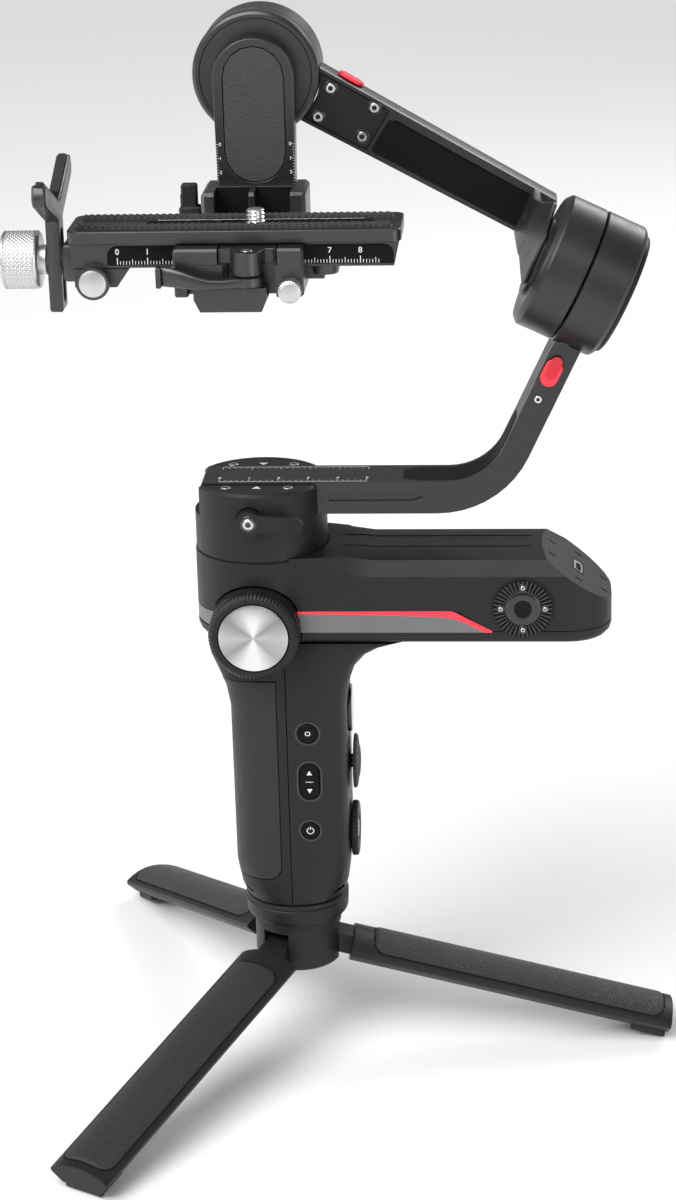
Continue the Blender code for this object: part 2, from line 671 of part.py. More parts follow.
def make_body():
    shell = prism(body_outline(), BODY_SEAM_Z, BODY_TOP_Z + 0.5 * MM)
    cut(shell, shoulder_tool(-1), shoulder_tool(1), end_slope_tool())
    cut(shell, rod((0, 0, PAN_BASE_Z - 0.5 * MM), (0, 0, 200 * MM), PAN_R + 0.5 * MM, sides=40))
    hollow = [(4, 155), (108, 155), (108, 173.0), (95.5, 182.2), (4, 183.4)]
    cut(shell, prism([(x * MM, z * MM) for x, z in hollow], -BODY_HALF + WALL,
                     BODY_HALF - WALL, "Y"))
    cut(shell, rod((0, 0, 155 * MM), (0, 0, 184 * MM), BODY_CUP_R - WALL, sides=32))
    cut(shell, rod((0, 0, 180 * MM), (0, 0, 195 * MM), 17.4 * MM, sides=32))
    join(shell, block((-13.6 * MM, -17.6 * MM, BODY_SEAM_Z), (16.6 * MM, -14.6 * MM, 180.4 * MM)))
    cut(shell, dial_recess())
    cut(shell, dial_hole(), gear_recess())
    rebate = cut_ready(prism(body_outline(-1 * MM), 158 * MM, 169.0 * MM),
                       prism(body_outline(1.2 * MM), 150 * MM, 180 * MM))
    inside(rebate, band_region([(-30, 158), (79.8, 161.2), (67.6, 168.8), (-10, 168.8),
                                (-30, 166.4)], -FAR, FAR))
    cut(shell, bake(rebate))
    for side in (-1, 1):
        cut(shell, top_groove(side))
    for spot in VENTS:
        cut(shell, end_block(spot, 1.5 * MM, 0.6 * MM, 2.5 * MM))
    cut(shell, end_block(USB_PORT, 2.1 * MM, 4.8 * MM, 8 * MM))
    part(shell, "body_shell", "handle", BLACK_PLASTIC)

    plug = end_block(USB_PORT, 1.8 * MM, 4.5 * MM, 4 * MM)
    hollow_port = end_block(USB_PORT, 1.0 * MM, 3.7 * MM, 3 * MM)
    part(cut(plug, hollow_port), "usb_port", "handle", SILVER)

    make_bottom_cover()
    make_bands()
    make_crown_gear()


def top_groove(side):
    """Shallow groove along an edge of the top's flat, running out to a point at both ends."""
    middle = side * GROOVE_Y
    half = 0.6 * MM
    ends = ((29.5 * MM, 27.0 * MM), (91.0 * MM, 93.5 * MM))
    outline = [(ends[0][0], middle - half), (ends[1][0], middle - half), (ends[1][1], middle),
               (ends[1][0], middle + half), (ends[0][0], middle + half), (ends[0][1], middle)]
    return prism(outline, BODY_TOP_Z - 0.8 * MM, BODY_TOP_Z + 3 * MM)


GROOVE_Y = 5.6 * MM
VENTS = tuple((run * MM, y * MM) for run, y in
              ((3.2, -6.5), (3.2, 6.5), (14.4, -13.0), (14.4, 13.0), (25.2, -6.0), (25.2, 6.0)))
USB_PORT = (14.4 * MM, 0.0)


def end_block(spot, half_run, half_y, depth):
    """Box across the slanted end face; spot is (distance down the slope, y)."""
    run, y = spot
    frame = (Matrix.Translation((END_TOP_X, y, BODY_TOP_Z - 0.6 * MM))
             @ Matrix.Rotation(END_SLOPE, 4, "Y"))
    return framed(block((run - half_run, -half_y, -depth), (run + half_run, half_y, 0.01 * MM)),
                  frame)


def dial_hole():
    return rod((DIAL_X, -18 * MM, DIAL_Z), (DIAL_X, -13 * MM, DIAL_Z), 3.0 * MM + GAP, sides=24)


def gear_recess():
    return rod((GEAR_X, -FAR, GEAR_Z), (GEAR_X, -19.0 * MM, GEAR_Z), GEAR_R + GAP, sides=28)


def make_bottom_cover():
    rings = []
    for height, inset in ((156.8, 4.0), (157.5, 1.9), (158.9, 0.5), (160.4, 0.0), (161.7, 0.0)):
        rings.append([(x, y, height * MM) for x, y in body_outline(inset * MM)])
    cover = loft(rings)
    cut(cover, prism(body_outline(WALL), 159.2 * MM, 170 * MM))
    cut(cover, block((-8.6 * MM, -14.0 * MM, 150 * MM), (25 * MM, 17 * MM, 165 * MM)))
    join(cover, block((-13.6 * MM, -18.4 * MM, 157.6 * MM), (16.6 * MM, -14.6 * MM, 161.7 * MM)))
    cut(cover, dial_recess(), dial_hole(), gear_recess())
    part(cover, "bottom_cover", "handle", BLACK_PLASTIC)


def body_skin(low_z, high_z):
    """The body's outermost 0.9 mm, as a ring."""
    ring = prism(body_outline(), low_z, high_z)
    return cut(ring, prism(body_outline(0.9 * MM), low_z - MM, high_z + MM))


def make_bands():
    front = body_skin(162.3 * MM, 168.6 * MM)
    inside(front, band_region([(10, 162.3), (74.6, 162.3), (65.4, 166.9), (10, 166.9)], -FAR, 0))
    cut(front, dial_recess())
    part(front, "side_band_front", "handle", GREY_BAND)

    stripe = body_skin(162.3 * MM, 168.6 * MM)
    inside(stripe, band_region([(10, 167.2), (65.6, 167.2), (75.4, 162.3), (78.0, 162.3),
                                (67.4, 168.5), (10, 168.5)], -FAR, 0))
    cut(stripe, dial_recess())
    part(stripe, "red_stripe", "handle", RED)

    rear = body_skin(162.3 * MM, 168.6 * MM)
    inside(rear, band_region([(-30, 162.3), (76.4, 162.3), (66.6, 168.4), (-10, 168.4),
                              (-30, 166.1)], -FAR, FAR))
    cut(rear, dial_recess(), block((0, -FAR, 150 * MM), (90 * MM, 0, 180 * MM)))
    part(rear, "side_band_rear", "handle", GREY_BAND)


def make_crown_gear():
    frame = y_axis(GEAR_X, GEAR_Z)
    gear = turned([(0, 19.6 * MM), (2.7 * MM, 19.6 * MM), (2.7 * MM, 21.2 * MM),
                   (6.2 * MM, 21.2 * MM), (6.6 * MM, 20.6 * MM), (9.3 * MM, 21.0 * MM),
                   (GEAR_R, 20.6 * MM), (GEAR_R, 19.3 * MM), (0, 19.3 * MM)], frame, sides=28)
    part(gear, "crown_gear", "handle", BLACK_METAL)


def make_insides():
    cell = bevel(rod((HUB_X + 0.4 * MM, 1.6 * MM, 70 * MM), (HUB_X + 0.4 * MM, 1.6 * MM, 135 * MM),
                     9.2 * MM, sides=32), 0.6 * MM)
    part(cell, "battery_cell", "handle", CELL)
    board = block((30 * MM, -15 * MM, 163.5 * MM), (100 * MM, 15 * MM, 165.1 * MM))
    part(board, "main_board", "handle", BOARD)
    core = turned([(0, 178 * MM), (5.4 * MM, 178 * MM), (5.4 * MM, 196.5 * MM),
                   (16.6 * MM, 196.5 * MM), (16.6 * MM, 181.6 * MM), (13.8 * MM, 181.6 * MM),
                   (13.8 * MM, 173 * MM), (0, 173 * MM)], sides=20)
    part(core, "pan_motor_core", "handle", COPPER)


# --- pan motor and arm -------------------------------------------------------------------------
def make_pan():
    rotor = turned([(0, PAN_TOP_Z), (PAN_R - 0.9 * MM, PAN_TOP_Z), (PAN_R, PAN_TOP_Z - 0.9 * MM),
                    (PAN_R, PAN_BASE_Z), (19.4 * MM, PAN_BASE_Z), (19.4 * MM, 198 * MM),
                    (5.0 * MM, 198 * MM), (5.0 * MM, 179.5 * MM), (0, 179.5 * MM)])
    cut(rotor, block((-FAR, -BAR_HALF - GAP, BAR_BASE_Z - GAP), (FAR, BAR_HALF + GAP, 230 * MM)))
    x, _, z = PAN_LEVER
    cut(rotor, rod((x, -FAR, z), (x, -21.2 * MM, z), 4.7 * MM, sides=28))
    part(rotor, "pan_rotor", "pan", BLACK_METAL)

    outline = (arc((x, z), 4.2 * MM, 45, 315, 12)
               + arc((x + 15.6 * MM, z - 0.6 * MM), 2.5 * MM, -80, 80, 4))
    lever = prism(outline, -26.8 * MM, -23.6 * MM, "Y")
    join(lever, rod((x, -25 * MM, z), (x, -21.6 * MM, z), 3.9 * MM, sides=20))
    part(lever, "pan_clamp_lever", "pan_lever", BLACK_PLASTIC)


def riser_point(along, up):
    """Point of the XZ plane from its place in the roll motor's frame."""
    spot = ROLL_FRAME @ Vector((up, 0, along))
    return (spot.x, spot.z)


def bar_meets(along, height):
    """X where the riser face at this place along the roll axis meets a height."""
    x, z = riser_point(along, 0)
    return x - (z - height) * sin(ROLL_SLOPE) / cos(ROLL_SLOPE)


def make_pan_arm():
    outline = rounded([
        (BAR_LEFT_X, BAR_BASE_Z, 1.5 * MM),
        (bar_meets(RISER_OUTER, BAR_BASE_Z), BAR_BASE_Z, 34 * MM),
        (*riser_point(RISER_OUTER, -16 * MM), 0),
        (*riser_point(RISER_INNER, -16 * MM), 0),
        (bar_meets(RISER_INNER, BAR_TOP_Z), BAR_TOP_Z, 20.7 * MM),
        (BAR_LEFT_X, BAR_TOP_Z, 1.5 * MM)], steps=9)
    arm = bevel(prism(outline, -BAR_HALF, BAR_HALF, "Y"), 0.9 * MM)
    for side in (-1, 1):
        cut(arm, prism([(24 * MM, 204.9 * MM), (52 * MM, 204.9 * MM), (56 * MM, 206.2 * MM),
                        (52 * MM, 207.3 * MM), (24 * MM, 207.3 * MM)],
                       side * BAR_HALF - 0.8 * MM, side * BAR_HALF + 0.8 * MM, "Y"))
    cut(arm, framed(rod((0, 0, -30 * MM), (0, 0, 10 * MM), ROLL_R + GAP, sides=48), ROLL_FRAME))
    x, y, z = RISER_LOCK
    cut(arm, framed(block((-1.6 * MM - GAP, y - 1 * MM, -1.1 * MM),
                          (1.6 * MM + GAP + LOCK_TRAVEL, y + 2.2 * MM, 1.1 * MM)),
                    lock_frame(x, z)))
    join(arm, rod((46.8 * MM, 0, 199.2 * MM), (46.8 * MM, 0, 201.5 * MM), 2.2 * MM, sides=16))
    part(arm, "pan_arm", "pan_arm", BLACK_METAL)

    lock = bevel(prism(slot_outline((0, 0), 4.9 * MM, 3.0 * MM), y - 1.3 * MM, y - GAP, "Y"), 0.4 * MM)
    framed(lock, lock_frame(x, z) @ Matrix.Rotation(pi / 2, 4, "Y"))
    stem = block((-1.6 * MM, y - 0.6 * MM, -0.8 * MM), (1.6 * MM, y + 1.8 * MM, 0.8 * MM))
    part(join(lock, framed(stem, lock_frame(x, z))), "roll_lock_slider", "roll_lock", RED)


def lock_frame(x, z):
    """At a point of the riser's front face, X runs up along the riser."""
    return Matrix.Translation((x, 0, z)) @ Matrix.Rotation(ROLL_SLOPE - pi / 2, 4, "Y")


# --- roll motor and arm --------------------------------------------------------------------------
def make_roll_motor():
    stator = turned([(0, -11.4 * MM), (18.3 * MM, -11.4 * MM), (18.3 * MM, -0.3 * MM),
                     (ROLL_R, -0.3 * MM), (ROLL_R, -13.6 * MM), (21.8 * MM, -14.6 * MM),
                     (0, -14.6 * MM)], ROLL_FRAME)
    part(stator, "roll_stator", "pan_arm", BLACK_METAL)
    cap = turned([(0, -14.9 * MM), (20.8 * MM, -14.9 * MM), (20.8 * MM, -16.2 * MM),
                  (20.0 * MM, -16.9 * MM), (0, -16.9 * MM)], ROLL_FRAME)
    part(cap, "roll_rear_cap", "pan_arm", BLACK_PLASTIC)
    core = turned([(0, -6.5 * MM), (5.0 * MM, -6.5 * MM), (5.0 * MM, 9.6 * MM),
                   (16.6 * MM, 9.6 * MM), (16.6 * MM, -11.1 * MM), (0, -11.1 * MM)],
                  ROLL_FRAME, sides=20)
    part(core, "roll_motor_core", "pan_arm", COPPER)
    rotor = turned([(0, 15.6 * MM), (13.5 * MM, 15.6 * MM), (13.5 * MM, 14.2 * MM),
                    (21.0 * MM, 14.2 * MM), (ROLL_R, 12.4 * MM), (ROLL_R, 0.3 * MM),
                    (18.3 * MM, 0.3 * MM), (18.3 * MM, 10.4 * MM), (4.6 * MM, 10.4 * MM),
                    (4.6 * MM, -5.8 * MM), (0, -5.8 * MM)], ROLL_FRAME)
    part(rotor, "roll_rotor", "roll", BLACK_METAL)


def arm_point(run, rise):
    """Point of the roll arm's near face: run from the tilt end, rise from the lower edge."""
    low = Vector((10.0, 317.5)) * (1 - run) + Vector((91.0, 273.8)) * run
    high = Vector((19.6, 335.0)) * (1 - run) + Vector((102.2, 287.0)) * run
    spot = low * (1 - rise) + high * rise
    return (spot.x * MM, spot.y * MM)


def arm_outline(start, end, margin, radius):
    corners = [(start, margin), (end, margin), (end, 1 - margin), (start, 1 - margin)]
    return rounded([(*arm_point(run, rise), radius) for run, rise in corners])


def make_roll_arm():
    arm = bevel(prism(arm_outline(-0.08, 0.995, 0.0, 0.0), ARM_FRONT_Y, ARM_BACK_Y, "Y"), 1.0 * MM)
    foot = [(-11, 10), (-14, -7.5), (-8, -8.5), (20, -7.5), (70, -11.5), (88, -11.5),
            (90.8, -9), (90.8, 2), (87, 4.3), (60, 5.5), (26, 12), (5, 17.5), (-1, 13)]
    leg = prism([(up * MM, y * MM) for y, up in foot], LEG_INNER, LEG_OUTER, "Z", ROLL_FRAME)
    taper = prism([(-30 * MM, LEG_INNER + 0.2 * MM), (30 * MM, LEG_OUTER + 0.1 * MM),
                   (30 * MM, 40 * MM), (-30 * MM, 40 * MM)], -FAR, FAR, "X", ROLL_FRAME)
    join(arm, bevel(cut_ready(leg, taper), 0.7 * MM))
    cut(arm, rod((TILT_X, 70 * MM, TILT_Z), (TILT_X, 110 * MM, TILT_Z), TILT_R + GAP, sides=64))
    cut(arm, prism(arm_outline(0.31, 0.93, 0.16, 2 * MM), ARM_FRONT_Y - MM, ARM_FRONT_Y + 1.6 * MM, "Y"))
    cut(arm, prism(arm_outline(-0.2, 0.285, 0.07, 0.5 * MM), ARM_FRONT_Y - MM,
                   ARM_FRONT_Y + 1.2 * MM, "Y"))
    cut(arm, framed(block((-1.6 * MM - GAP, -1.1 * MM, -3 * MM),
                          (1.6 * MM + GAP + LOCK_TRAVEL, 1.1 * MM, 2 * MM)),
                    tilt_lock_frame()))
    part(arm, "roll_arm", "roll_arm", BLACK_METAL)

    cover = bevel(prism(arm_outline(-0.05, 0.275, 0.09, 0.5 * MM), ARM_FRONT_Y - 0.3 * MM,
                        ARM_FRONT_Y + 0.9 * MM, "Y"), 0.3 * MM)
    cut(cover, rod((TILT_X, 70 * MM, TILT_Z), (TILT_X, 110 * MM, TILT_Z), TILT_R + 2 * GAP, sides=64))
    part(cover, "roll_arm_cover", "roll_arm", BLACK_METAL)

    lock = bevel(prism(slot_outline((0, 0), 4.9 * MM, 3.0 * MM), GAP, 1.6 * MM, "Z",
                       tilt_lock_frame() @ Matrix.Rotation(pi / 2, 4, "Z")), 0.4 * MM)
    stem = block((-1.6 * MM, -0.8 * MM, -2.4 * MM), (1.6 * MM, 0.8 * MM, 1.0 * MM))
    part(join(lock, framed(stem, tilt_lock_frame())), "tilt_lock_slider", "tilt_lock", RED)


def tilt_lock_frame():
    """On the roll arm's upper edge: X runs down along the arm, Z stands off the edge."""
    start, end = arm_point(0, 1), arm_point(1, 1)
    slope = atan2(start[1] - end[1], end[0] - start[0])
    x, y, z = TILT_LOCK
    return Matrix.Translation((x, y, edge_height(x))) @ Matrix.Rotation(slope, 4, "Y")


def edge_height(x):
    """Height of the roll arm's upper edge above a given x."""
    start, end = arm_point(0, 1), arm_point(1, 1)
    share = (x - start[0]) / (end[0] - start[0])
    return start[1] * (1 - share) + end[1] * share


def make_tilt_motor():
    frame = y_axis(TILT_X, TILT_Z)
    front, split, back = -TILT_FRONT_Y, -TILT_SPLIT_Y, -TILT_BACK_Y
    housing = turned([(0, back + 3 * MM), (18.2 * MM, back + 3 * MM), (18.2 * MM, split - GAP),
                      (TILT_R, split - GAP), (TILT_R, back + 1.6 * MM),
                      (TILT_R - 1.6 * MM, back), (0, back)], frame)
    part(housing, "tilt_housing", "roll_arm", BLACK_METAL)
    core = turned([(0, -94.5 * MM), (4.9 * MM, -94.5 * MM), (4.9 * MM, -85.2 * MM),
                   (16.6 * MM, -85.2 * MM), (16.6 * MM, -98.7 * MM), (0, -98.7 * MM)],
                  frame, sides=20)
    part(core, "tilt_motor_core", "roll_arm", COPPER)
    rotor = turned([(0, front), (TILT_R - 1.4 * MM, front), (TILT_R, front - 1.4 * MM),
                    (TILT_R, split), (4.5 * MM, split), (4.5 * MM, -93.8 * MM),
                    (0, -93.8 * MM)], frame)
    part(rotor, "tilt_rotor", "tilt", BLACK_METAL)


# --- tilt arm, bracket and clamp ---------------------------------------------------------------
def make_tilt_arm():
    top_half = 14.3 * MM
    outline = arc((TILT_X, TILT_Z), top_half, 0, 180, 16)
    outline += [(TILT_X - TILT_ARM_HALF, 302 * MM), (TILT_X - TILT_ARM_HALF, 275 * MM),
                (TILT_X + TILT_ARM_HALF, 275 * MM), (TILT_X + TILT_ARM_HALF, 302 * MM)]
    arm = bevel(prism(outline, TILT_ARM_FRONT_Y, TILT_FRONT_Y - GAP, "Y"), 0.5 * MM, angle=60)
    cut(arm, prism(slot_outline((TILT_X, 321.5 * MM), 24.0 * MM, 10.9 * MM),
                   TILT_ARM_FRONT_Y - MM, TILT_ARM_FRONT_Y + 1.3 * MM, "Y"))
    part(arm, "tilt_arm", "tilt", BLACK_METAL)
    panel = prism(slot_outline((TILT_X, 321.5 * MM), 24.0 * MM - GAP, 10.9 * MM - GAP),
                  TILT_ARM_FRONT_Y, TILT_ARM_FRONT_Y + 1.0 * MM, "Y")
    part(panel, "tilt_arm_panel", "tilt", BLACK_PLASTIC)


def make_bracket():
    left, right = BRACKET_X - BRACKET_HALF, BRACKET_X + BRACKET_HALF
    back = TILT_ARM_FRONT_Y - GAP
    bracket = bevel(block((left, BRACKET_FRONT_Y, BRACKET_BASE_Z), (right, 75.6 * MM, BRACKET_TOP_Z)),
                    1.2 * MM)
    cut(bracket, block((TILT_X - TILT_ARM_HALF - GAP, back, 260 * MM),
                       (TILT_X + TILT_ARM_HALF + GAP, 90 * MM, 310 * MM)))
    for low, high in ((-18.0 * MM, -6.0 * MM), (-4.0 * MM, 8.5 * MM)):
        cut(bracket, block((low, 40 * MM, 279.5 * MM), (high, 63 * MM, 300 * MM)))
    shelf = prism([(-17.6 * MM, 281.5 * MM), (-17.6 * MM, 277.5 * MM), (-15.6 * MM, BRACKET_BASE_Z),
                   (4.6 * MM, BRACKET_BASE_Z), (6.4 * MM, 277.5 * MM), (6.4 * MM, 281.5 * MM)],
                  -21.5 * MM, 56 * MM, "Y")
    join(bracket, cut_ready(shelf, block((-30 * MM, -CLAMP_HALF - GAP, CLAMP_BASE_Z - GAP),
                                         (30 * MM, CLAMP_HALF + GAP, 290 * MM))))
    part(bracket, "camera_bracket", "bracket", BLACK_METAL)

    x, y, z = BRACKET_LEVER
    lever = bevel(block((x - 7.2 * MM, y - 3 * MM, z - 2.6 * MM), (x + 0.8 * MM, y + 3 * MM, z + 2.6 * MM)),
                  0.8 * MM)
    join(lever, bevel(block((x - 6.4 * MM, y - 2 * MM, z), (x - 0.6 * MM, y + 2 * MM, z + 10.4 * MM)),
                      0.6 * MM))
    part(lever, "bracket_lever", "bracket_lever", BLACK_PLASTIC)


def make_clamp():
    clamp = bevel(block((CLAMP_LEFT_X, -CLAMP_HALF, CLAMP_BASE_Z), (CLAMP_RIGHT_X, CLAMP_HALF, 294.0 * MM)),
                  0.8 * MM)
    cut(clamp, block((-FAR, -RAIL_HALF - GAP, RAIL_BASE_Z - GAP), (FAR, RAIL_HALF + GAP, 300 * MM)))
    cut(clamp, block((-9.6 * MM, -FAR, 288.7 * MM), (10.0 * MM, 0, 300 * MM)))
    cut(clamp, block((-17.0 * MM, -FAR, 270 * MM), (9.4 * MM, -14.4 * MM, 288.8 * MM)))
    cut(clamp, block((CLAMP_LEFT_X - MM, -FAR, 270 * MM), (9.4 * MM, -14.4 * MM, 283.5 * MM)))
    join(clamp, bevel(block((-24.0 * MM, -19.4 * MM, 277.9 * MM), (-19.4 * MM, -13.0 * MM, 284.5 * MM)),
                      0.5 * MM))
    join(clamp, rod((24.0 * MM, 0, 281.6 * MM), (24.0 * MM, 0, 285.6 * MM), 4.6 * MM, 5.4 * MM, sides=24),
         block((17.0 * MM, -3 * MM, 280 * MM), (24.0 * MM, 3 * MM, 284 * MM)))
    cut(clamp, rod((SAFETY_KNOB[0], -30 * MM, SAFETY_KNOB[2]), (SAFETY_KNOB[0], -8 * MM, SAFETY_KNOB[2]),
                   1.8 * MM, sides=20))
    part(clamp, "plate_clamp", "bracket", BLACK_METAL)

    wedge = bevel(block((-9.2 * MM, -19.8 * MM, 289.0 * MM), (9.6 * MM, -11.9 * MM, 294.0 * MM)), 0.5 * MM)
    x, y = CLAMP_SCREW_X, CLAMP_SCREW_Y
    join(wedge, rod((x, y - 1.2 * MM, 286.0 * MM), (x, y - 1.2 * MM, 293.6 * MM), 4.8 * MM, sides=28))
    part(wedge, "clamp_wedge", "clamp_wedge", BLACK_METAL)

    outline = (arc((x, y), 5.2 * MM, -60, 120, 10)
               + [(-6.5 * MM, -17.2 * MM), (-14 * MM, -21.6 * MM), (-21 * MM, -22.8 * MM),
                  (-29 * MM, -21.9 * MM), (-29 * MM, -24.4 * MM), (-20 * MM, -26.6 * MM),
                  (-12 * MM, -26.4 * MM), (-5 * MM, -25.6 * MM)])
    lever = bevel(prism(outline, 281.8 * MM, 285.7 * MM), 0.6 * MM)
    part(lever, "clamp_lever", "clamp_lever", BLACK_METAL)

    x, y, z = SAFETY_KNOB
    knob = turned([(0, 26.6 * MM), (3.4 * MM, 26.5 * MM), (3.9 * MM, 26.0 * MM), (3.9 * MM, 20.4 * MM),
                   (1.5 * MM, 20.4 * MM), (1.5 * MM, 12.0 * MM), (0, 12.0 * MM)],
                  y_axis(x, z), sides=20)
    part(knob, "safety_knob", "safety_knob", SILVER)


# --- camera plate and lens support --------------------------------------------------------------
def make_plate():
    half, rail = PLATE_HALF, RAIL_HALF
    plan = rounded([(PLATE_LEFT_X, -half, 4 * MM), (PLATE_RIGHT_X, -half, 3 * MM),
                    (PLATE_RIGHT_X, half, 3 * MM), (PLATE_LEFT_X, half, 4 * MM)])
    plate = bevel(prism(plan, RAIL_TOP_Z, PLATE_TOP_Z), 0.5 * MM)
    join(plate, prism([(PLATE_LEFT_X + 1 * MM, RAIL_BASE_Z), (PLATE_RIGHT_X - 2.4 * MM, RAIL_BASE_Z),
                       (PLATE_RIGHT_X - 0.4 * MM, RAIL_TOP_Z + MM), (PLATE_LEFT_X + 1 * MM, RAIL_TOP_Z + MM)],
                      -rail, rail, "Y"))
    wide = slot_outline((0, 0), 41 * MM, 6.2 * MM)
    cut(plate, prism([(y + 3 * MM, x) for x, y in wide], 280 * MM, 290.6 * MM))
    slot = slot_outline((0, 0), 38 * MM, 3.6 * MM, steps=7)
    cut(plate, prism([(y + 3 * MM, x) for x, y in slot], 288 * MM, 302 * MM))
    for side in (-1, 1):
        strip = rounded([(-57.5 * MM, side * 7.4 * MM - 2.6 * MM, 2 * MM),
                         (47 * MM, side * 7.4 * MM - 2.6 * MM, 2 * MM),
                         (47 * MM, side * 7.4 * MM + 2.6 * MM, 2 * MM),
                         (-57.5 * MM, side * 7.4 * MM + 2.6 * MM, 2 * MM)])
        cut(plate, prism(strip, 297.3 * MM, 300 * MM))
        name = "rubber_strip_near" if side < 0 else "rubber_strip_far"
        pad = rounded([(-57.2 * MM, side * 7.4 * MM - 2.3 * MM, 1.8 * MM),
                       (46.7 * MM, side * 7.4 * MM - 2.3 * MM, 1.8 * MM),
                       (46.7 * MM, side * 7.4 * MM + 2.3 * MM, 1.8 * MM),
                       (-57.2 * MM, side * 7.4 * MM + 2.3 * MM, 1.8 * MM)])
        part(prism(pad, 297.6 * MM, 299.2 * MM), name, "plate", RUBBER)
    part(plate, "camera_plate", "plate", BLACK_METAL)

    screw = turned([(0, 303.2 * MM), (2.6 * MM, 303.2 * MM), (3.1 * MM, 302.6 * MM),
                    (3.1 * MM, 290.2 * MM), (5.8 * MM, 290.2 * MM), (5.8 * MM, 286.8 * MM),
                    (0, 286.8 * MM)], Matrix.Translation((CAMERA_SCREW_X, 0, 0)), sides=20)
    part(screw, "camera_screw", "camera_screw", SILVER)


def make_lens_support():
    mount = bevel(block((-62.4 * MM, -8.5 * MM, 280.6 * MM), (-53.0 * MM, 8.5 * MM, 293.6 * MM)), 1.6 * MM, 2)
    cut(mount, block((-59.3 * MM, -RAIL_HALF - GAP, RAIL_BASE_Z - GAP),
                     (-50 * MM, RAIL_HALF + GAP, RAIL_TOP_Z + 2 * MM)))
    join(mount, prism([(-58 * MM, 279.6 * MM), (-44.0 * MM, 279.6 * MM), (-39.6 * MM, 285.8 * MM),
                       (-58 * MM, 285.8 * MM)], -11 * MM, 11 * MM, "Y"))
    cut(mount, rod((-70 * MM, 0, LENS_KNOB_Z), (-59.0 * MM, 0, LENS_KNOB_Z), 2.7 * MM, sides=20))
    cut(mount, rod((THUMB_X, -30 * MM, THUMB_Z), (THUMB_X, -4 * MM, THUMB_Z), 1.7 * MM, sides=16))
    part(mount, "lens_block", "plate", BLACK_METAL)

    thick = 2.3 * MM
    yoke = [(-5, 269.6), (5, 269.6), (5, 300.5), (27.2, 310.0), (28.6, 312.4), (27.0, 316.6),
            (24.6, 316.8), (3, 307.6), (0, 307.0), (-3, 307.6), (-24.6, 316.8), (-27.0, 316.6),
            (-28.6, 312.4), (-27.2, 310.0), (-5, 300.5)]
    support = bevel(prism([(y * MM, z * MM) for y, z in yoke], LENS_X - thick, LENS_X + thick, "X"), 0.6 * MM)
    cut(support, prism(slot_outline((0, 284.8 * MM), 12.6 * MM, 2.7 * MM), -80 * MM, -50 * MM, "X"))
    part(support, "lens_support", "lens_support", BLACK_METAL)

    along = Matrix.Translation((0, 0, LENS_KNOB_Z)) @ Matrix.Rotation(-pi / 2, 4, "Y")
    knob = turned([(0, 83.2 * MM), (9.2 * MM, 83.2 * MM), (9.8 * MM, 82.6 * MM), (9.8 * MM, 71.4 * MM),
                   (9.2 * MM, 70.8 * MM), (5.0 * MM, 70.8 * MM), (5.0 * MM, 68.4 * MM),
                   (2.3 * MM, 68.4 * MM), (2.3 * MM, 59.6 * MM), (0, 59.6 * MM)], along, sides=28)
    part(knob, "lens_knob", "lens_knob", SILVER)

    thumb = turned([(0, 15.8 * MM), (3.9 * MM, 15.8 * MM), (5.4 * MM, 15.4 * MM), (5.4 * MM, 11.9 * MM),
                    (1.4 * MM, 11.9 * MM), (1.4 * MM, 6.0 * MM), (0, 6.0 * MM)],
                   y_axis(THUMB_X, THUMB_Z), sides=20)
    part(thumb, "thumb_screw", "thumb_screw", SILVER)


make_pivots()
make_tripod()
make_grip()
make_controls()
make_dial()
make_body()
make_insides()
make_pan()
make_pan_arm()
make_roll_motor()
make_roll_arm()
make_tilt_motor()
make_tilt_arm()
make_bracket()
make_clamp()
make_plate()
make_lens_support()
PIVOTS["handle"][0].location = -FLOOR_MID
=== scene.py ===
"""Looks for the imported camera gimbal: fine surfaces, small fittings, materials, light and camera.

Lengths are millimetres in the gimbal's own frame (pan axis at X = Y = 0, feet on Z = 0) until
at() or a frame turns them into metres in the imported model's frame.
"""
import json
from math import cos, floor, pi, radians, sin, sqrt

import bmesh
import bpy
from mathutils import Matrix, Vector


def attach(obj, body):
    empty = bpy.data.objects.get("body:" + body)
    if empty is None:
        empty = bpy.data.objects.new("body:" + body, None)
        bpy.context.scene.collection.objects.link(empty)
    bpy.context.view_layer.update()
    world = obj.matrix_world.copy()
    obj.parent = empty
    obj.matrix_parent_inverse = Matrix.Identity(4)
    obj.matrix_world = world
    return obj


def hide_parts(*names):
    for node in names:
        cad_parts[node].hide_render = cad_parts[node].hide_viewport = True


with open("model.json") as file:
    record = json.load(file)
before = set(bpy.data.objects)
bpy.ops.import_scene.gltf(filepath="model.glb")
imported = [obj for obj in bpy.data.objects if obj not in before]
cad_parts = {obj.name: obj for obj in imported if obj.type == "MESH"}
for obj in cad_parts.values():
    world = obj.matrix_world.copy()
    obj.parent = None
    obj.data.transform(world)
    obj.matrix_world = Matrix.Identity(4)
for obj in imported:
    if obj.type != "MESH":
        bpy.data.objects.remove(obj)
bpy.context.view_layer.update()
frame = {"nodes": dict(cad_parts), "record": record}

MM = 0.001
ORIGIN = Vector((29.67, -1.09, 0.0))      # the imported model's origin, in the gimbal frame
BODIES = frame["record"]["behaviour"]["bodies"]
BODY_OF = {node: body for body, nodes in BODIES.items() for node in nodes}

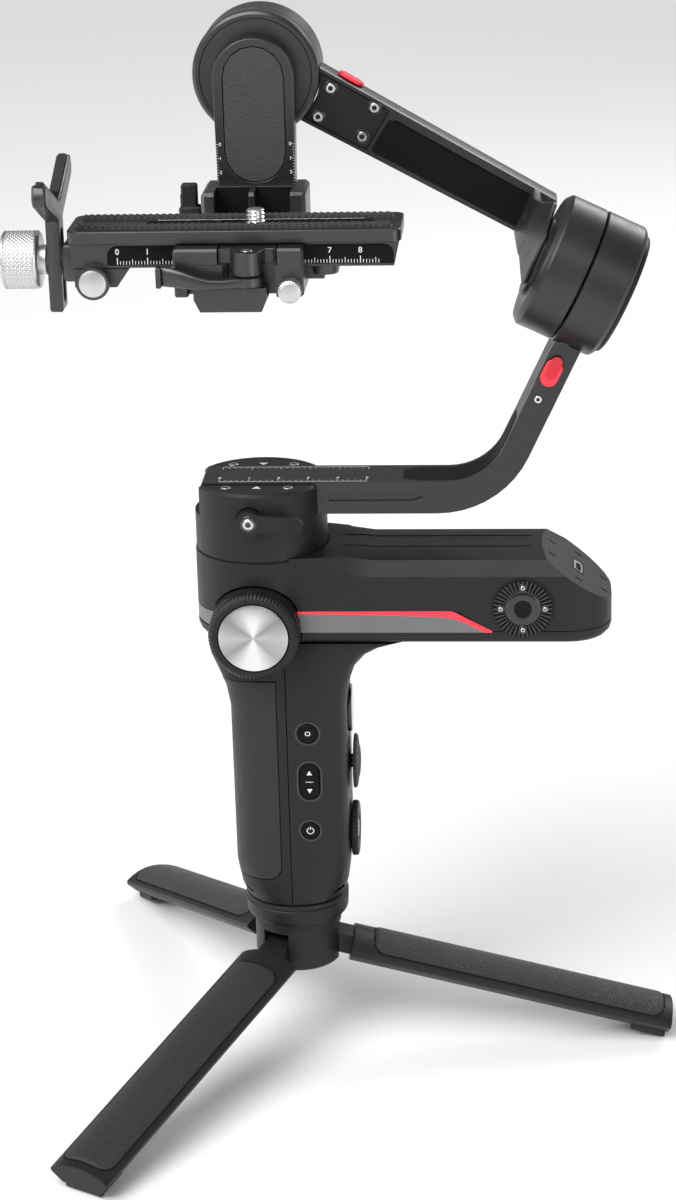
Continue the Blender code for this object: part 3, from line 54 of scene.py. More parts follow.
HUB_X = 8.2                               # axis of the tripod's hub and middle of the grip
LEG_TURN, LEG_SLOPE = 1.1, radians(14.4)
LEG_HINGE_R, LEG_HINGE_Z = 11.5, 37.8
LEG_CROWN_R, LEG_CROWN_Z = 19.3, -14.8    # rounding of a leg's upper side, in the leg's frame
MODE_KEY, ROCKER_KEY, POWER_KEY = (15.2, 124.2), (15.4, 106.3), (15.2, 87.8)
DIAL = (-1.3, 163.0)
GEAR = (89.2, 170.3)
ROLL_C = (107.84, 0.0, 279.82)
ROLL_SLOPE = radians(25.33)
TILT = (-4.6, 333.9)
CLAMP_PIVOT = (0.3, -20.0)
ARM_TOP = 211.4                           # top face of the lower arm's flat bar
ARM_ZERO, PLATE_ZERO = -13.3, -43.4       # X of the nought on each long scale
SIDES = ((-1, "a"), (1, "b"))             # sign of a side and the letter that names its piece


# --- frames ---
def at(x, y, z):
    return (Vector((x, y, z)) - ORIGIN) * MM


def facing(x, y, z, turn=None):
    """Frame at a point: local Z is up, or wherever the turn sends it."""
    frame_here = Matrix.Translation(at(x, y, z))
    return frame_here if turn is None else frame_here @ turn


TO_FRONT = Matrix.Rotation(pi / 2, 4, "X")       # local Z runs to -Y, local Y runs up
TO_BACK = Matrix.Rotation(-pi / 2, 4, "X")
TO_LEFT = Matrix.Rotation(-pi / 2, 4, "Y")
TO_RIGHT = Matrix.Rotation(pi / 2, 4, "Y")
DOWNWARD = Matrix.Rotation(pi, 4, "X")
ROLL_FRAME = facing(*ROLL_C, Matrix.Rotation(ROLL_SLOPE - pi / 2, 4, "Y"))
GIMBAL = facing(0, 0, 0)


def front_frame(spot, y):
    """Frame at an (x, z) spot and a depth, with local Z running to the front."""
    return facing(spot[0], y, spot[1], TO_FRONT)


def leg_turn(number):
    return radians(LEG_TURN + 120 * (number - 2))


def leg_frame(number):
    turn = leg_turn(number)
    spot = (HUB_X + LEG_HINGE_R * cos(turn), LEG_HINGE_R * sin(turn), LEG_HINGE_Z)
    return facing(*spot, Matrix.Rotation(turn, 4, "Z") @ Matrix.Rotation(LEG_SLOPE, 4, "Y"))


def shifted(place, x, y, z, turn=None):
    moved = place @ Matrix.Translation(Vector((x, y, z)) * MM)
    return moved if turn is None else moved @ turn


def arm_point(run, rise):
    """Point of the upper arm's near face: run from the tilt end, rise from the lower edge."""
    low = Vector((10.0, 317.5)) * (1 - run) + Vector((91.0, 273.8)) * run
    high = Vector((19.6, 335.0)) * (1 - run) + Vector((102.2, 287.0)) * run
    return low * (1 - rise) + high * rise


# --- materials ---
def new_tree(name):
    material = bpy.data.materials.new(name)
    material.use_nodes = True
    tree = material.node_tree
    return material, tree, tree.nodes["Principled BSDF"]


def link(tree, source, target):
    tree.links.new(source, target)


def add_node(tree, kind, **values):
    node = tree.nodes.new(kind)
    for key, value in values.items():
        if key in node.inputs:
            node.inputs[key].default_value = value
        else:
            setattr(node, key, value)
    return node


def noise(tree, where, scale, detail=3.0, rough=0.5):
    node = add_node(tree, "ShaderNodeTexNoise", Scale=scale, Detail=detail, Roughness=rough)
    link(tree, where, node.inputs["Vector"])
    return node.outputs["Fac"]


def spread(tree, source, low, high, start=0.3, end=0.7):
    limits = {"From Min": start, "From Max": end, "To Min": low, "To Max": high}
    node = add_node(tree, "ShaderNodeMapRange", **limits)
    link(tree, source, node.inputs["Value"])
    return node.outputs["Result"]


def blend_colour(tree, factor, first, second):
    node = add_node(tree, "ShaderNodeMix", data_type="RGBA")
    link(tree, factor, node.inputs["Factor"])
    for socket, value in ((node.inputs[6], first), (node.inputs[7], second)):
        if hasattr(value, "is_linked"):
            link(tree, value, socket)
        else:
            socket.default_value = (*value, 1.0)
    return node.outputs[2]


def scaled(colour, factor):
    return tuple(min(1.0, channel * factor) for channel in colour)


def surface(name, colour, rough, metallic=0.0, grain=3000.0, relief=0.12, depth=0.00006,
            patch=45.0, variation=0.16, coat=0.0, sheen=0.0, specular=0.5, cells=0.0,
            brushed=None):
    """Procedural finish: uneven tone, uneven gloss, a fine grain and faint handling marks."""
    material, tree, shader = new_tree(name)
    for socket, value in (("Metallic", metallic), ("Specular IOR Level", specular),
                          ("Coat Weight", coat), ("Coat Roughness", 0.15),
                          ("Sheen Weight", sheen)):
        shader.inputs[socket].default_value = value
    where = add_node(tree, "ShaderNodeTexCoord").outputs["Object"]
    broad = noise(tree, where, patch, 5.0, 0.6)
    fine = noise(tree, where, grain, 2.0, 0.6)
    tone = spread(tree, broad, 0.0, 1.0)
    base = blend_colour(tree, tone, scaled(colour, 1 - variation), scaled(colour, 1 + variation))
    specks = spread(tree, fine, 0.0, 1.0, 0.35, 0.75)
    base = blend_colour(tree, specks, base, scaled(colour, 1.0 + 2.2 * variation))
    link(tree, base, shader.inputs["Base Color"])

    scuff = noise(tree, where, patch * 7, 6.0, 0.7)
    gloss = add_node(tree, "ShaderNodeMath", operation="ADD")
    link(tree, spread(tree, broad, rough[0], rough[1]), gloss.inputs[0])
    link(tree, spread(tree, scuff, -0.03, 0.05), gloss.inputs[1])
    link(tree, gloss.outputs[0], shader.inputs["Roughness"])

    height = fine
    if cells:
        pattern = add_node(tree, "ShaderNodeTexVoronoi", Scale=cells, feature="DISTANCE_TO_EDGE")
        link(tree, where, pattern.inputs["Vector"])
        crease = spread(tree, pattern.outputs["Distance"], 0.0, 1.0, 0.0, 0.16)
        total = add_node(tree, "ShaderNodeMath", operation="MULTIPLY_ADD")
        link(tree, fine, total.inputs[0])
        total.inputs[1].default_value = 0.35
        link(tree, crease, total.inputs[2])
        height = total.outputs[0]
    if brushed:
        stretch = add_node(tree, "ShaderNodeMapping")
        stretch.inputs["Scale"].default_value = brushed
        link(tree, where, stretch.inputs["Vector"])
        height = noise(tree, stretch.outputs["Vector"], grain, 3.0, 0.6)
    bump = add_node(tree, "ShaderNodeBump", Strength=relief, Distance=depth)
    link(tree, height, bump.inputs["Height"])
    link(tree, bump.outputs["Normal"], shader.inputs["Normal"])
    return material


def spun(name, colour, rough=0.24):
    """Turned metal face: fine rings about local Z with their streaked shine, and painted highlight
    bands round the axis.
    """
    material, tree, shader = new_tree(name)
    shader.inputs["Metallic"].default_value = 1.0
    shader.inputs["Anisotropic"].default_value = 0.85
    tangent = add_node(tree, "ShaderNodeTangent", direction_type="RADIAL", axis="Z")
    link(tree, tangent.outputs["Tangent"], shader.inputs["Tangent"])
    where = add_node(tree, "ShaderNodeTexCoord").outputs["Object"]
    rings = add_node(tree, "ShaderNodeTexWave", wave_type="RINGS", rings_direction="Z",
                     Scale=900.0, Distortion=0.6, Detail=2.0)
    link(tree, where, rings.inputs["Vector"])
    # Painted highlights: light and dark bands round the axis, set into the colour in place of the
    # face's streaked reflections.
    around = add_node(tree, "ShaderNodeTexGradient", gradient_type="RADIAL")
    link(tree, where, around.inputs["Vector"])
    painted_highlight_fan = add_node(tree, "ShaderNodeValToRGB")
    link(tree, around.outputs["Fac"], painted_highlight_fan.inputs["Fac"])
    ramp = painted_highlight_fan.color_ramp
    for end in (0, 1):
        ramp.elements[end].color = (0.62, 0.62, 0.62, 1.0)
    for spot, tone in ((0.10, 0.40), (0.20, 0.95), (0.28, 1.0), (0.38, 0.46), (0.50, 0.66),
                       (0.60, 0.38), (0.71, 1.0), (0.79, 0.94), (0.90, 0.42)):
        stop = ramp.elements.new(spot)
        stop.color = (tone, tone, tone, 1.0)
    broad = noise(tree, where, 120.0, 4.0)
    base = blend_colour(tree, spread(tree, broad, 0.0, 1.0), scaled(colour, 0.92), colour)
    # Painted sheen: the colour multiplied by the painted highlight bands.
    sheen = add_node(tree, "ShaderNodeMix", data_type="RGBA", blend_type="MULTIPLY")
    sheen.inputs["Factor"].default_value = 1.0
    link(tree, base, sheen.inputs[6])
    link(tree, painted_highlight_fan.outputs["Color"], sheen.inputs[7])
    link(tree, sheen.outputs[2], shader.inputs["Base Color"])
    link(tree, spread(tree, rings.outputs["Fac"], rough - 0.05, rough + 0.07, 0.0, 1.0),
         shader.inputs["Roughness"])
    bump = add_node(tree, "ShaderNodeBump", Strength=0.12, Distance=0.00003)
    link(tree, rings.outputs["Fac"], bump.inputs["Height"])
    link(tree, bump.outputs["Normal"], shader.inputs["Normal"])
    return material


LOOKS = {
    "plastic": surface("moulded_black", (0.009, 0.009, 0.0095), (0.38, 0.52), grain=2600.0,
                       relief=0.32, depth=0.00008, specular=0.30),
    "metal": surface("anodised_black", (0.010, 0.010, 0.0105), (0.27, 0.38), metallic=0.1,
                     grain=4200.0, relief=0.14, specular=0.95),
    "arm": surface("arm_black", (0.009, 0.009, 0.0095), (0.30, 0.42), metallic=0.1,
                   grain=3800.0, relief=0.18, specular=0.7),
    "inset": surface("inset_black", (0.004, 0.004, 0.0043), (0.55, 0.70), grain=1900.0,
                     relief=0.5, depth=0.00012, specular=0.12),
    "gloss": surface("gloss_black", (0.006, 0.006, 0.0065), (0.10, 0.18), relief=0.03, coat=0.5),
    "band": surface("satin_grey", (0.135, 0.135, 0.14), (0.34, 0.46), metallic=0.25,
                    grain=3200.0, relief=0.10, variation=0.08),
    "red": surface("red_gloss", (0.86, 0.022, 0.045), (0.28, 0.40), relief=0.06,
                   variation=0.06, coat=0.3),
    "rubber": surface("soft_rubber", (0.0115, 0.0115, 0.012), (0.55, 0.72), grain=1500.0,
                      relief=0.35, depth=0.00012, sheen=0.12, specular=0.35),
    "panel": surface("grained_panel", (0.028, 0.028, 0.0285), (0.44, 0.60), grain=2600.0,
                     relief=0.60, depth=0.00014, cells=1100.0, specular=0.6),
    "leather": surface("grained_pad", (0.013, 0.013, 0.0135), (0.46, 0.62), grain=2500.0,
                       relief=0.60, depth=0.00016, cells=820.0, sheen=0.08, specular=0.4),
    # Darker red: painted shade for the finger dip in the lock slider.
    "red_painted_shade": surface("red_with_painted_shade", (0.50, 0.010, 0.022), (0.40, 0.55), relief=0.2,
                        variation=0.08),
    "steel": surface("bright_metal", (0.78, 0.78, 0.79), (0.18, 0.30), metallic=1.0,
                     grain=5000.0, relief=0.08, variation=0.05),
    "satin_steel": surface("satin_metal", (0.60, 0.60, 0.61), (0.30, 0.42), metallic=1.0,
                           grain=3000.0, relief=0.2, variation=0.07),
    # Painted shade for holes, grooves, pockets and the gap under the leg pads; also the dark pan
    # seam.
    "joint_and_painted_shade": surface("joint_and_painted_shade_black", (0.003, 0.003, 0.003), (0.6, 0.8), relief=0.1,
                         specular=0.2),
    "white": surface("printed_white", (0.66, 0.66, 0.66), (0.5, 0.6), relief=0.05,
                     variation=0.05),
    "copper": surface("wound_core", (0.42, 0.20, 0.10), (0.35, 0.5), metallic=0.8, relief=0.3,
                      brushed=(0.05, 1.0, 1.0)),
    "board": surface("solder_mask", (0.01, 0.10, 0.045), (0.3, 0.45), relief=0.2),
    "cell": surface("cell_sleeve", (0.03, 0.12, 0.34), (0.25, 0.35), relief=0.05),
}
SPUN = spun("spun_face", (0.84, 0.84, 0.85))


# --- making pieces ---
def piece(name, build, place, look, body, replaces=(), smooth=35.0, edge=0.0, steps=2):
    """Turn a bmesh in millimetres into a finished piece that rides on a body."""
    bmesh.ops.scale(build, vec=(MM, MM, MM), verts=build.verts)
    bmesh.ops.recalc_face_normals(build, faces=build.faces)
    mesh = bpy.data.meshes.new(name)
    build.to_mesh(mesh)
    build.free()
    return dress(name, mesh, place, look, body, replaces, smooth, edge, steps)


def add_object(name, data):
    item = bpy.data.objects.new(name, data)
    bpy.context.scene.collection.objects.link(item)
    return item


def dress(name, mesh, place, look, body, replaces=(), smooth=35.0, edge=0.0, steps=2):
    material = SPUN if look == "spun" else LOOKS[look]
    mesh.materials.clear()
    mesh.materials.append(material)
    mesh.shade_smooth()
    mesh.set_sharp_from_angle(angle=radians(smooth))
    item = add_object(name, mesh)
    item.matrix_world = place
    if edge:
        round_edges(item, edge, steps)
    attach(item, body)
    for node in replaces:
        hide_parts(node)
    return item


def round_edges(item, width, steps):
    bevel = item.modifiers.new("edges", "BEVEL")
    bevel.width = width * MM
    bevel.segments = steps
    bevel.limit_method = "ANGLE"
    bevel.angle_limit = radians(38)
    bevel.harden_normals = True


def refine(node, look, edge=0.25):
    """The CAD node itself with its flat facets merged, its edges eased and its curves smooth."""
    build = bmesh.new()
    build.from_mesh(frame["nodes"][node].data)
    bmesh.ops.remove_doubles(build, verts=build.verts, dist=0.000004)
    bmesh.ops.dissolve_limit(build, angle_limit=radians(0.6), verts=build.verts,
                             edges=build.edges)
    mesh = bpy.data.meshes.new("fine_" + node)
    build.to_mesh(mesh)
    build.free()
    for name in [layer.name for layer in mesh.attributes if layer.name == "custom_normal"]:
        mesh.attributes.remove(mesh.attributes[name])
    item = dress("fine_" + node, mesh, Matrix.Identity(4), look, BODY_OF[node], (node,),
                 edge=edge)
    return item


def lathe(profile, steps=96, ripple=None):
    """Solid of revolution about local Z from a (radius, height) profile, top axis to bottom."""
    build = bmesh.new()
    rings = []
    for row, (radius, height) in enumerate(profile):
        if radius == 0:
            rings.append([build.verts.new((0, 0, height))])
            continue
        ring = []
        for step in range(steps):
            angle = 2 * pi * step / steps
            grown = radius + (ripple(row, angle, height) if ripple else 0.0)
            ring.append(build.verts.new((grown * cos(angle), grown * sin(angle), height)))
        rings.append(ring)
    for upper, lower in zip(rings, rings[1:]):
        for step in range(steps):
            after = (step + 1) % steps
            corners = [upper[step % len(upper)], upper[after % len(upper)],
                       lower[after % len(lower)], lower[step % len(lower)]]
            unique = list(dict.fromkeys(corners))
            if len(unique) > 2:
                build.faces.new(unique)
    return build


def hoop(profile, steps):
    """Ring of revolution about local Z, from a profile that closes on itself."""
    return lathe(profile + profile[:1], steps)


def flutes(count, depth, rows, sink=0.0):
    """Ripple of even ridges round some rows of a turned profile."""
    def ripple(row, angle, height):
        return depth * cos(count * angle) - sink if row in rows else 0.0

    return ripple


def slabs(boxes):
    """Boxes given by their lowest and highest corners."""
    build = bmesh.new()
    for low, high in boxes:
        made = bmesh.ops.create_cube(build, size=1.0)["verts"]
        bmesh.ops.scale(build, vec=[b - a for a, b in zip(low, high)], verts=made)
        bmesh.ops.translate(build, vec=[(a + b) / 2 for a, b in zip(low, high)], verts=made)
    return build


def extruded(points, low, high):
    """Flat outline in local XY pushed from low to high along local Z."""
    build = bmesh.new()
    bottom = [build.verts.new((x, y, low)) for x, y in points]
    top = [build.verts.new((x, y, high)) for x, y in points]
    count = len(points)
    build.faces.new(list(reversed(bottom)))
    build.faces.new(top)
    for here in range(count):
        after = (here + 1) % count
        build.faces.new((bottom[here], bottom[after], top[after], top[here]))
    return build


def skinned(sections):
    """Closed skin over matching rings of points."""
    build = bmesh.new()
    rings = [[build.verts.new(spot) for spot in ring] for ring in sections]
    count = len(rings[0])
    for lower, upper in zip(rings, rings[1:]):
        for here in range(count):
            after = (here + 1) % count
            build.faces.new((lower[here], lower[after], upper[after], upper[here]))
    build.faces.new(list(reversed(rings[0])))
    build.faces.new(rings[-1])
    return build


def height_field(columns, rows, spot):
    """Open grid of points given by spot(column share, row share)."""
    build = bmesh.new()
    grid = [[build.verts.new(spot(i / columns, j / rows)) for j in range(rows + 1)]
            for i in range(columns + 1)]
    for i in range(columns):
        for j in range(rows):
            build.faces.new((grid[i][j], grid[i + 1][j], grid[i + 1][j + 1], grid[i][j + 1]))
    return build


def arc(centre, radius, start, end, steps):
    return [(centre[0] + radius * cos(radians(start + (end - start) * k / steps)),
             centre[1] + radius * sin(radians(start + (end - start) * k / steps)))
            for k in range(steps + 1)]


def oval(half_length, half_width, steps=12, upright=True):
    straight = half_length - half_width
    points = (arc((0, straight), half_width, 0, 180, steps)
              + arc((0, -straight), half_width, 180, 360, steps))
    return points if upright else [(y, -x) for x, y in points]


def rim_between(inner, outer, low, high):
    """Flat frame between two matching outlines, from low to high along local Z."""
    build = bmesh.new()
    loops = [[build.verts.new((x, y, z)) for x, y in points]
             for points, z in ((inner, low), (inner, high), (outer, high), (outer, low))]
    for first, second in zip(loops, loops[1:] + loops[:1]):
        for here in range(len(first)):
            after = (here + 1) % len(first)
            build.faces.new((first[here], first[after], second[after], second[here]))
    return build


def four_round(radius, first):
    """Four offsets on a circle, the first one at an angle in degrees."""
    turns = [radians(first + 90 * k) for k in range(4)]
    return [(radius * cos(turn), radius * sin(turn)) for turn in turns]


def zigzag(share):
    """Falls from 1 to 0 and rises again over every whole step of its argument."""
    return abs(2 * (share - floor(share)) - 1)


def numerals(entries, size, place, body, name):
    """Digits lying in local XY; entries are (text, x, y)."""
    build = bmesh.new()
    for text, x, y in entries:
        curve = bpy.data.curves.new("digit", "FONT")
        curve.body = text
        curve.size = size
        curve.extrude = 0.03
        curve.offset = size * 0.014
        curve.align_x = "CENTER"
        curve.align_y = "CENTER"
        holder = add_object("digit", curve)
        graph = bpy.context.evaluated_depsgraph_get()
        mesh = bpy.data.meshes.new_from_object(holder.evaluated_get(graph))
        mesh.transform(Matrix.Translation((x, y, 0.02)))
        build.from_mesh(mesh)
        bpy.data.objects.remove(holder, do_unlink=True)
        bpy.data.meshes.remove(mesh)
        bpy.data.curves.remove(curve)
    return piece(name, build, place, "white", body)


def ticks(entries, place, body, name):
    """Printed lines lying in local XY; entries are (x, y, half width, half height)."""
    boxes = [((x - w, y - h, -0.04), (x + w, y + h, 0.05)) for x, y, w, h in entries]
    return piece(name, slabs(boxes), place, "white", body)


def hex_reach(angle):
    """Distance to the edge of a hexagon whose flats are 1 away from its centre."""
    return 1.0 / cos((angle + pi / 6) % (pi / 3) - pi / 6)


def socket_screw(name, place, radius, body, look="steel", proud=0.3):
    """Round screw head with a six-sided socket."""
    socket = radius * 0.48

    def ripple(row, angle, height):
        return socket * (hex_reach(angle) - 1.0) if row in (1, 2) else 0.0

    profile = [(0, proud - 0.55 * radius), (socket, proud - 0.5 * radius), (socket, proud),
               (radius * 0.86, proud), (radius, proud - 0.14 * radius), (radius, -0.4),
               (0, -0.4)]
    return piece(name, lathe(profile, 36, ripple), place, look, body, smooth=40)


def screws(prefix, spots, radius, body, turn, look="steel", proud=0.3):
    for number, spot in enumerate(spots, 1):
        socket_screw(f"{prefix}_{number}", facing(*spot, turn), radius, body, look, proud)


# --- tripod ---
def crown(y):
    """Height of a leg's upper side across its width."""
    return LEG_CROWN_Z + sqrt(LEG_CROWN_R * LEG_CROWN_R - y * y)


def leg_pad_outline(run, across, spare=0.0):
    """Distance along the leg, room to the nearer end, half width there and share of it."""
    start, end, half, corner = 15.5 - spare, 122.4 + spare, 9.8 + spare, 5.0
    s = start + (end - start) * run
    nearest = min(s - start, end - s, corner)
    width = half - corner + sqrt(max(0.0, corner ** 2 - (corner - nearest) ** 2))
    return s, nearest, width, 2 * across - 1


def leg_groove_spot(run, across):
    """Painted shadow under the leg's pad: a dark sheet whose thin edge shows round the pad."""
    s, _, width, share = leg_pad_outline(run, across, 0.5)
    return (s, width * share, crown(width * share) + 0.02)


def leg_pad_spot(run, across):
    """Soft pad with a rounded rim and a sunk line of stitching."""
    s, nearest, width, share = leg_pad_outline(run, across)
    y = width * share
    inward = (1 - abs(share)) * width
    rim = min(1.0, inward / 0.9, nearest / 0.9)
    lift = 0.55 * sqrt(max(0.0, 1 - (1 - rim) ** 2)) - 0.12
    stitch = 0.10 if 1.5 < inward < 2.1 else 0.0
    return (s, y, crown(y) + lift - stitch)


def make_tripod():
    hub = facing(HUB_X, 0, 0)
    collar = [(0, 57.4), (17.3, 57.4), (18.0, 57.1), (18.3, 56.5), (18.3, 55.9), (17.95, 55.6),
              (17.95, 55.3), (18.3, 55.0), (18.1, 50.8), (17.7, 49.8), (17.0, 49.2), (15.9, 48.8),
              (15.9, 47.2), (0, 47.2)]
    piece("collar_turned", lathe(collar, 128), hub, "plastic", "handle", ("tripod_collar",),
          smooth=28)
    refine("tripod_hub", "plastic", 0.3)
    cap = [(0, 30.75), (6.0, 30.75), (6.4, 30.5), (6.4, 30.3), (5.4, 30.3), (5.0, 30.5),
           (0, 30.5)]
    piece("hub_cap", lathe(cap, 64), hub, "metal", "handle")
    for number in (1, 2, 3):
        leg, place = f"leg_{number}", leg_frame(number)
        refine(f"tripod_leg_{number}", "plastic", 0.45)
        piece(f"foot_strip_{number}", slabs([((112.6, -7.3, -6.8), (125.1, 7.3, -4.0))]), place,
              "rubber", leg, (f"foot_pad_{number}",), edge=0.4)
        # Painted shadow: a dark sheet just under the pad's edge.
        piece(f"painted_pad_shadow_{number}", height_field(120, 26, leg_groove_spot), place, "joint_and_painted_shade",
              leg, smooth=60)
        piece(f"leg_pad_{number}", height_field(120, 26, leg_pad_spot), place, "leather", leg,
              smooth=60)
        upright = hub @ Matrix.Rotation(leg_turn(number), 4, "Z")
        for side, mark in SIDES:
            hinge = shifted(upright, LEG_HINGE_R, side * 8.05, LEG_HINGE_Z,
                            TO_FRONT if side < 0 else TO_BACK)
            socket_screw(f"hinge_pin_{number}_{mark}", hinge, 1.5, "handle", "metal", 0.15)


# --- grip ---
def make_grip():
    refine("grip_shell_left", "plastic", 0.3)
    refine("grip_shell_right", "plastic", 0.3)
    refine("grip_pad", "leather", 0.35)
    key_y, rim_y = -20.4, -19.95
    keys = (("mode_key", "round_button", MODE_KEY, 3.4, "mode_button"),
            ("power_key", "power_button", POWER_KEY, 3.05, "power_key"))
    for name, node, spot, radius, body in keys:
        profile = [(0, -0.35), (radius * 0.55, -0.28), (radius * 0.86, 0.0), (radius, -0.35),
                   (radius, -4.7), (0, -4.7)]
        piece(name + "_cap", lathe(profile, 64), front_frame(spot, key_y), "inset", body, (node,),
              smooth=50)
    for number, (_, _, spot, radius, _) in enumerate(keys, 1):
        rim = [(radius + 0.35, 0.0), (radius + 0.75, 0.12), (radius + 1.1, 0.0),
               (radius + 1.1, -0.5), (radius + 0.35, -0.5)]
        piece(f"key_rim_{number}", hoop(rim, 64), front_frame(spot, rim_y), "gloss", "handle",
              smooth=60)
    piece("rocker_cap", extruded(oval(6.6, 3.4, 14), 0.0, 4.7), front_frame(ROCKER_KEY, -15.7),
          "inset", "rocker", ("rocker_button",), edge=0.5, steps=3)
    piece("rocker_rim", rim_between(oval(7.0, 3.8, 14), oval(7.7, 4.5, 14), -0.3, 0.06),
          front_frame(ROCKER_KEY, rim_y), "gloss", "handle")

    key = front_frame(MODE_KEY, key_y)
    ticks([(-0.75, 0, 0.16, 0.5), (0.75, 0, 0.16, 0.5), (0, 0.62, 0.6, 0.14),
           (0, -0.62, 0.6, 0.14)], shifted(key, 0, 0, -0.32), "mode_button", "mode_mark")
    key = front_frame(ROCKER_KEY, key_y)
    for side, mark in SIDES:
        points = [(-0.95, 2.6 * side), (0.95, 2.6 * side), (0, 4.2 * side)]
        piece(f"rocker_mark_{mark}", extruded(points[::side], 0, 0.06),
              shifted(key, 0, 0, -0.02), "white", "rocker")
    ticks([(0, 0, 1.3, 0.1)], key, "rocker", "rocker_line")
    key = front_frame(POWER_KEY, key_y)
    turns = [radians(125 + 290 * k / 14) for k in range(15)]
    ring = [(1.15 * cos(turn), 1.15 * sin(turn), 0.17, 0.17) for turn in turns]
    ticks(ring + [(0, 0.95, 0.15, 0.6)], shifted(key, 0, 0, -0.30), "power_key", "power_mark")

    refine("display_window", "gloss", 0.3)
    stick = [(0, 2.3), (3.0, 2.25), (5.5, 1.9), (6.6, 1.35), (7.4, 1.5), (8.9, 1.2), (9.4, 0.7),
             (9.4, 0.0), (2.4, 0.0), (2.4, -4.6), (0, -4.6)]
    piece("stick_cap", lathe(stick, 180, flutes(36, 0.22, (5, 6, 7))),
          facing(29.7, 0, 105.9, TO_RIGHT), "rubber", "stick", ("joystick",), smooth=50)
    wheel = [(0, 1.6), (4.8, 1.6), (5.4, 2.0), (8.6, 2.4), (9.4, 2.2), (9.7, 1.7), (9.7, 0.3),
             (9.4, 0.0), (3.0, 0.0), (3.0, -3.5), (0, -3.5)]
    piece("side_wheel_turned", lathe(wheel, 288, flutes(48, 0.20, (5, 6), 0.1)),
          facing(28.6, 0, 80.1, TO_RIGHT), "plastic", "side_wheel", ("menu_dial",), smooth=50)
    piece("side_wheel_hub", lathe([(0, 0.5), (2.6, 0.45), (3.4, 0.1), (3.4, -0.4), (0, -0.4)], 48),
          facing(30.3, 0, 80.1, TO_RIGHT), "gloss", "side_wheel")
    screws("grip_screw", [(HUB_X, 19.75, z) for z in (72.5, 146.0)], 1.5, "handle", TO_BACK,
           "metal", 0.1)


# --- body ---
def make_dial():
    front = front_frame(DIAL, 0)
    rim = [(0, 28.9), (12.15, 28.9), (12.3, 30.1), (14.1, 30.1), (15.0, 29.3), (15.4, 28.7),
           (15.4, 19.0), (15.2, 17.3), (3.0, 17.3), (3.0, 15.4), (0, 15.4)]
    piece("dial_rim_turned", lathe(rim, 432, flutes(72, 0.16, (3, 4, 5, 6), 0.12)), front,
          "plastic", "hand_wheel", ("dial_rim",), smooth=42)
    groove = [(15.42, 27.2), (15.56, 27.0), (15.56, 26.5), (15.42, 26.3), (15.1, 26.3),
              (15.1, 27.2)]
    piece("dial_band", hoop(groove, 96), front, "gloss", "hand_wheel")
    face = [(0, 30.25), (1.2, 30.32), (11.2, 30.42), (11.75, 30.2), (11.95, 29.8),
            (11.95, 29.0), (0, 29.0)]
    piece("dial_face_spun", lathe(face, 160), front, "spun", "hand_wheel", ("dial_face",),
          smooth=25)


def make_gear():
    front = front_frame(GEAR, 0)
    refine("crown_gear", "metal", 0.12)
    # Painted shade: a dark ring under the teeth.
    painted_shade_ring = [(6.0, 21.24), (10.05, 21.24), (10.05, 21.0), (6.0, 21.0)]
    piece("gear_painted_shade_ring", hoop(painted_shade_ring, 96), front, "joint_and_painted_shade", "handle")
    count, foot, crest = 40, 21.1, 21.7
    build = bmesh.new()
    for tooth in range(count):
        middle = 2 * pi * tooth / count
        half = pi / count * 0.62
        tip = pi / count * 0.30
        ring = []
        for radius in (6.2, 9.9):
            for angle, height in ((middle - half, foot), (middle - tip, crest),
                                  (middle + tip, crest), (middle + half, foot)):
                ring.append(build.verts.new((radius * cos(angle), radius * sin(angle), height)))
        low, high = ring[:4], ring[4:]
        build.faces.new(low)
        build.faces.new(list(reversed(high)))
        for here in range(4):
            after = (here + 1) % 4
            build.faces.new((low[here], low[after], high[after], high[here]))
    piece("gear_teeth", build, front, "metal", "handle", smooth=20)
    bush = [(2.9, 21.0), (3.0, 21.3), (3.5, 21.45), (5.2, 21.45), (5.7, 21.25), (5.7, 21.0)]
    piece("gear_bushing", hoop(bush, 64), front, "gloss", "handle", smooth=50)
    # Painted shade: a dark disc where the centre hole is in shade.
    piece("gear_painted_hole_shade", lathe([(0, 21.23), (3.0, 21.23), (3.0, 21.0), (0, 21.0)], 48), front,
          "joint_and_painted_shade", "handle")
    pit = [(0, 0.58), (1.35, 0.58), (1.5, 0.4), (1.5, 0.0), (0, 0.0)]
    for number, (x, z) in enumerate(four_round(7.5, 0), 1):
        spot = (GEAR[0] + x, GEAR[1] + z)
        piece(f"gear_pit_{number}", lathe(pit, 32), front_frame(spot, -21.2), "gloss", "handle")
        socket_screw(f"gear_screw_{number}", front_frame(spot, -21.78), 0.75, "handle",
                     "satin_steel", 0.1)
    rim = [(9.95, 20.9), (10.5, 20.9), (10.6, 20.7), (10.6, 20.3), (9.95, 20.3)]
    piece("gear_rim", hoop(rim, 96), front, "plastic", "handle")


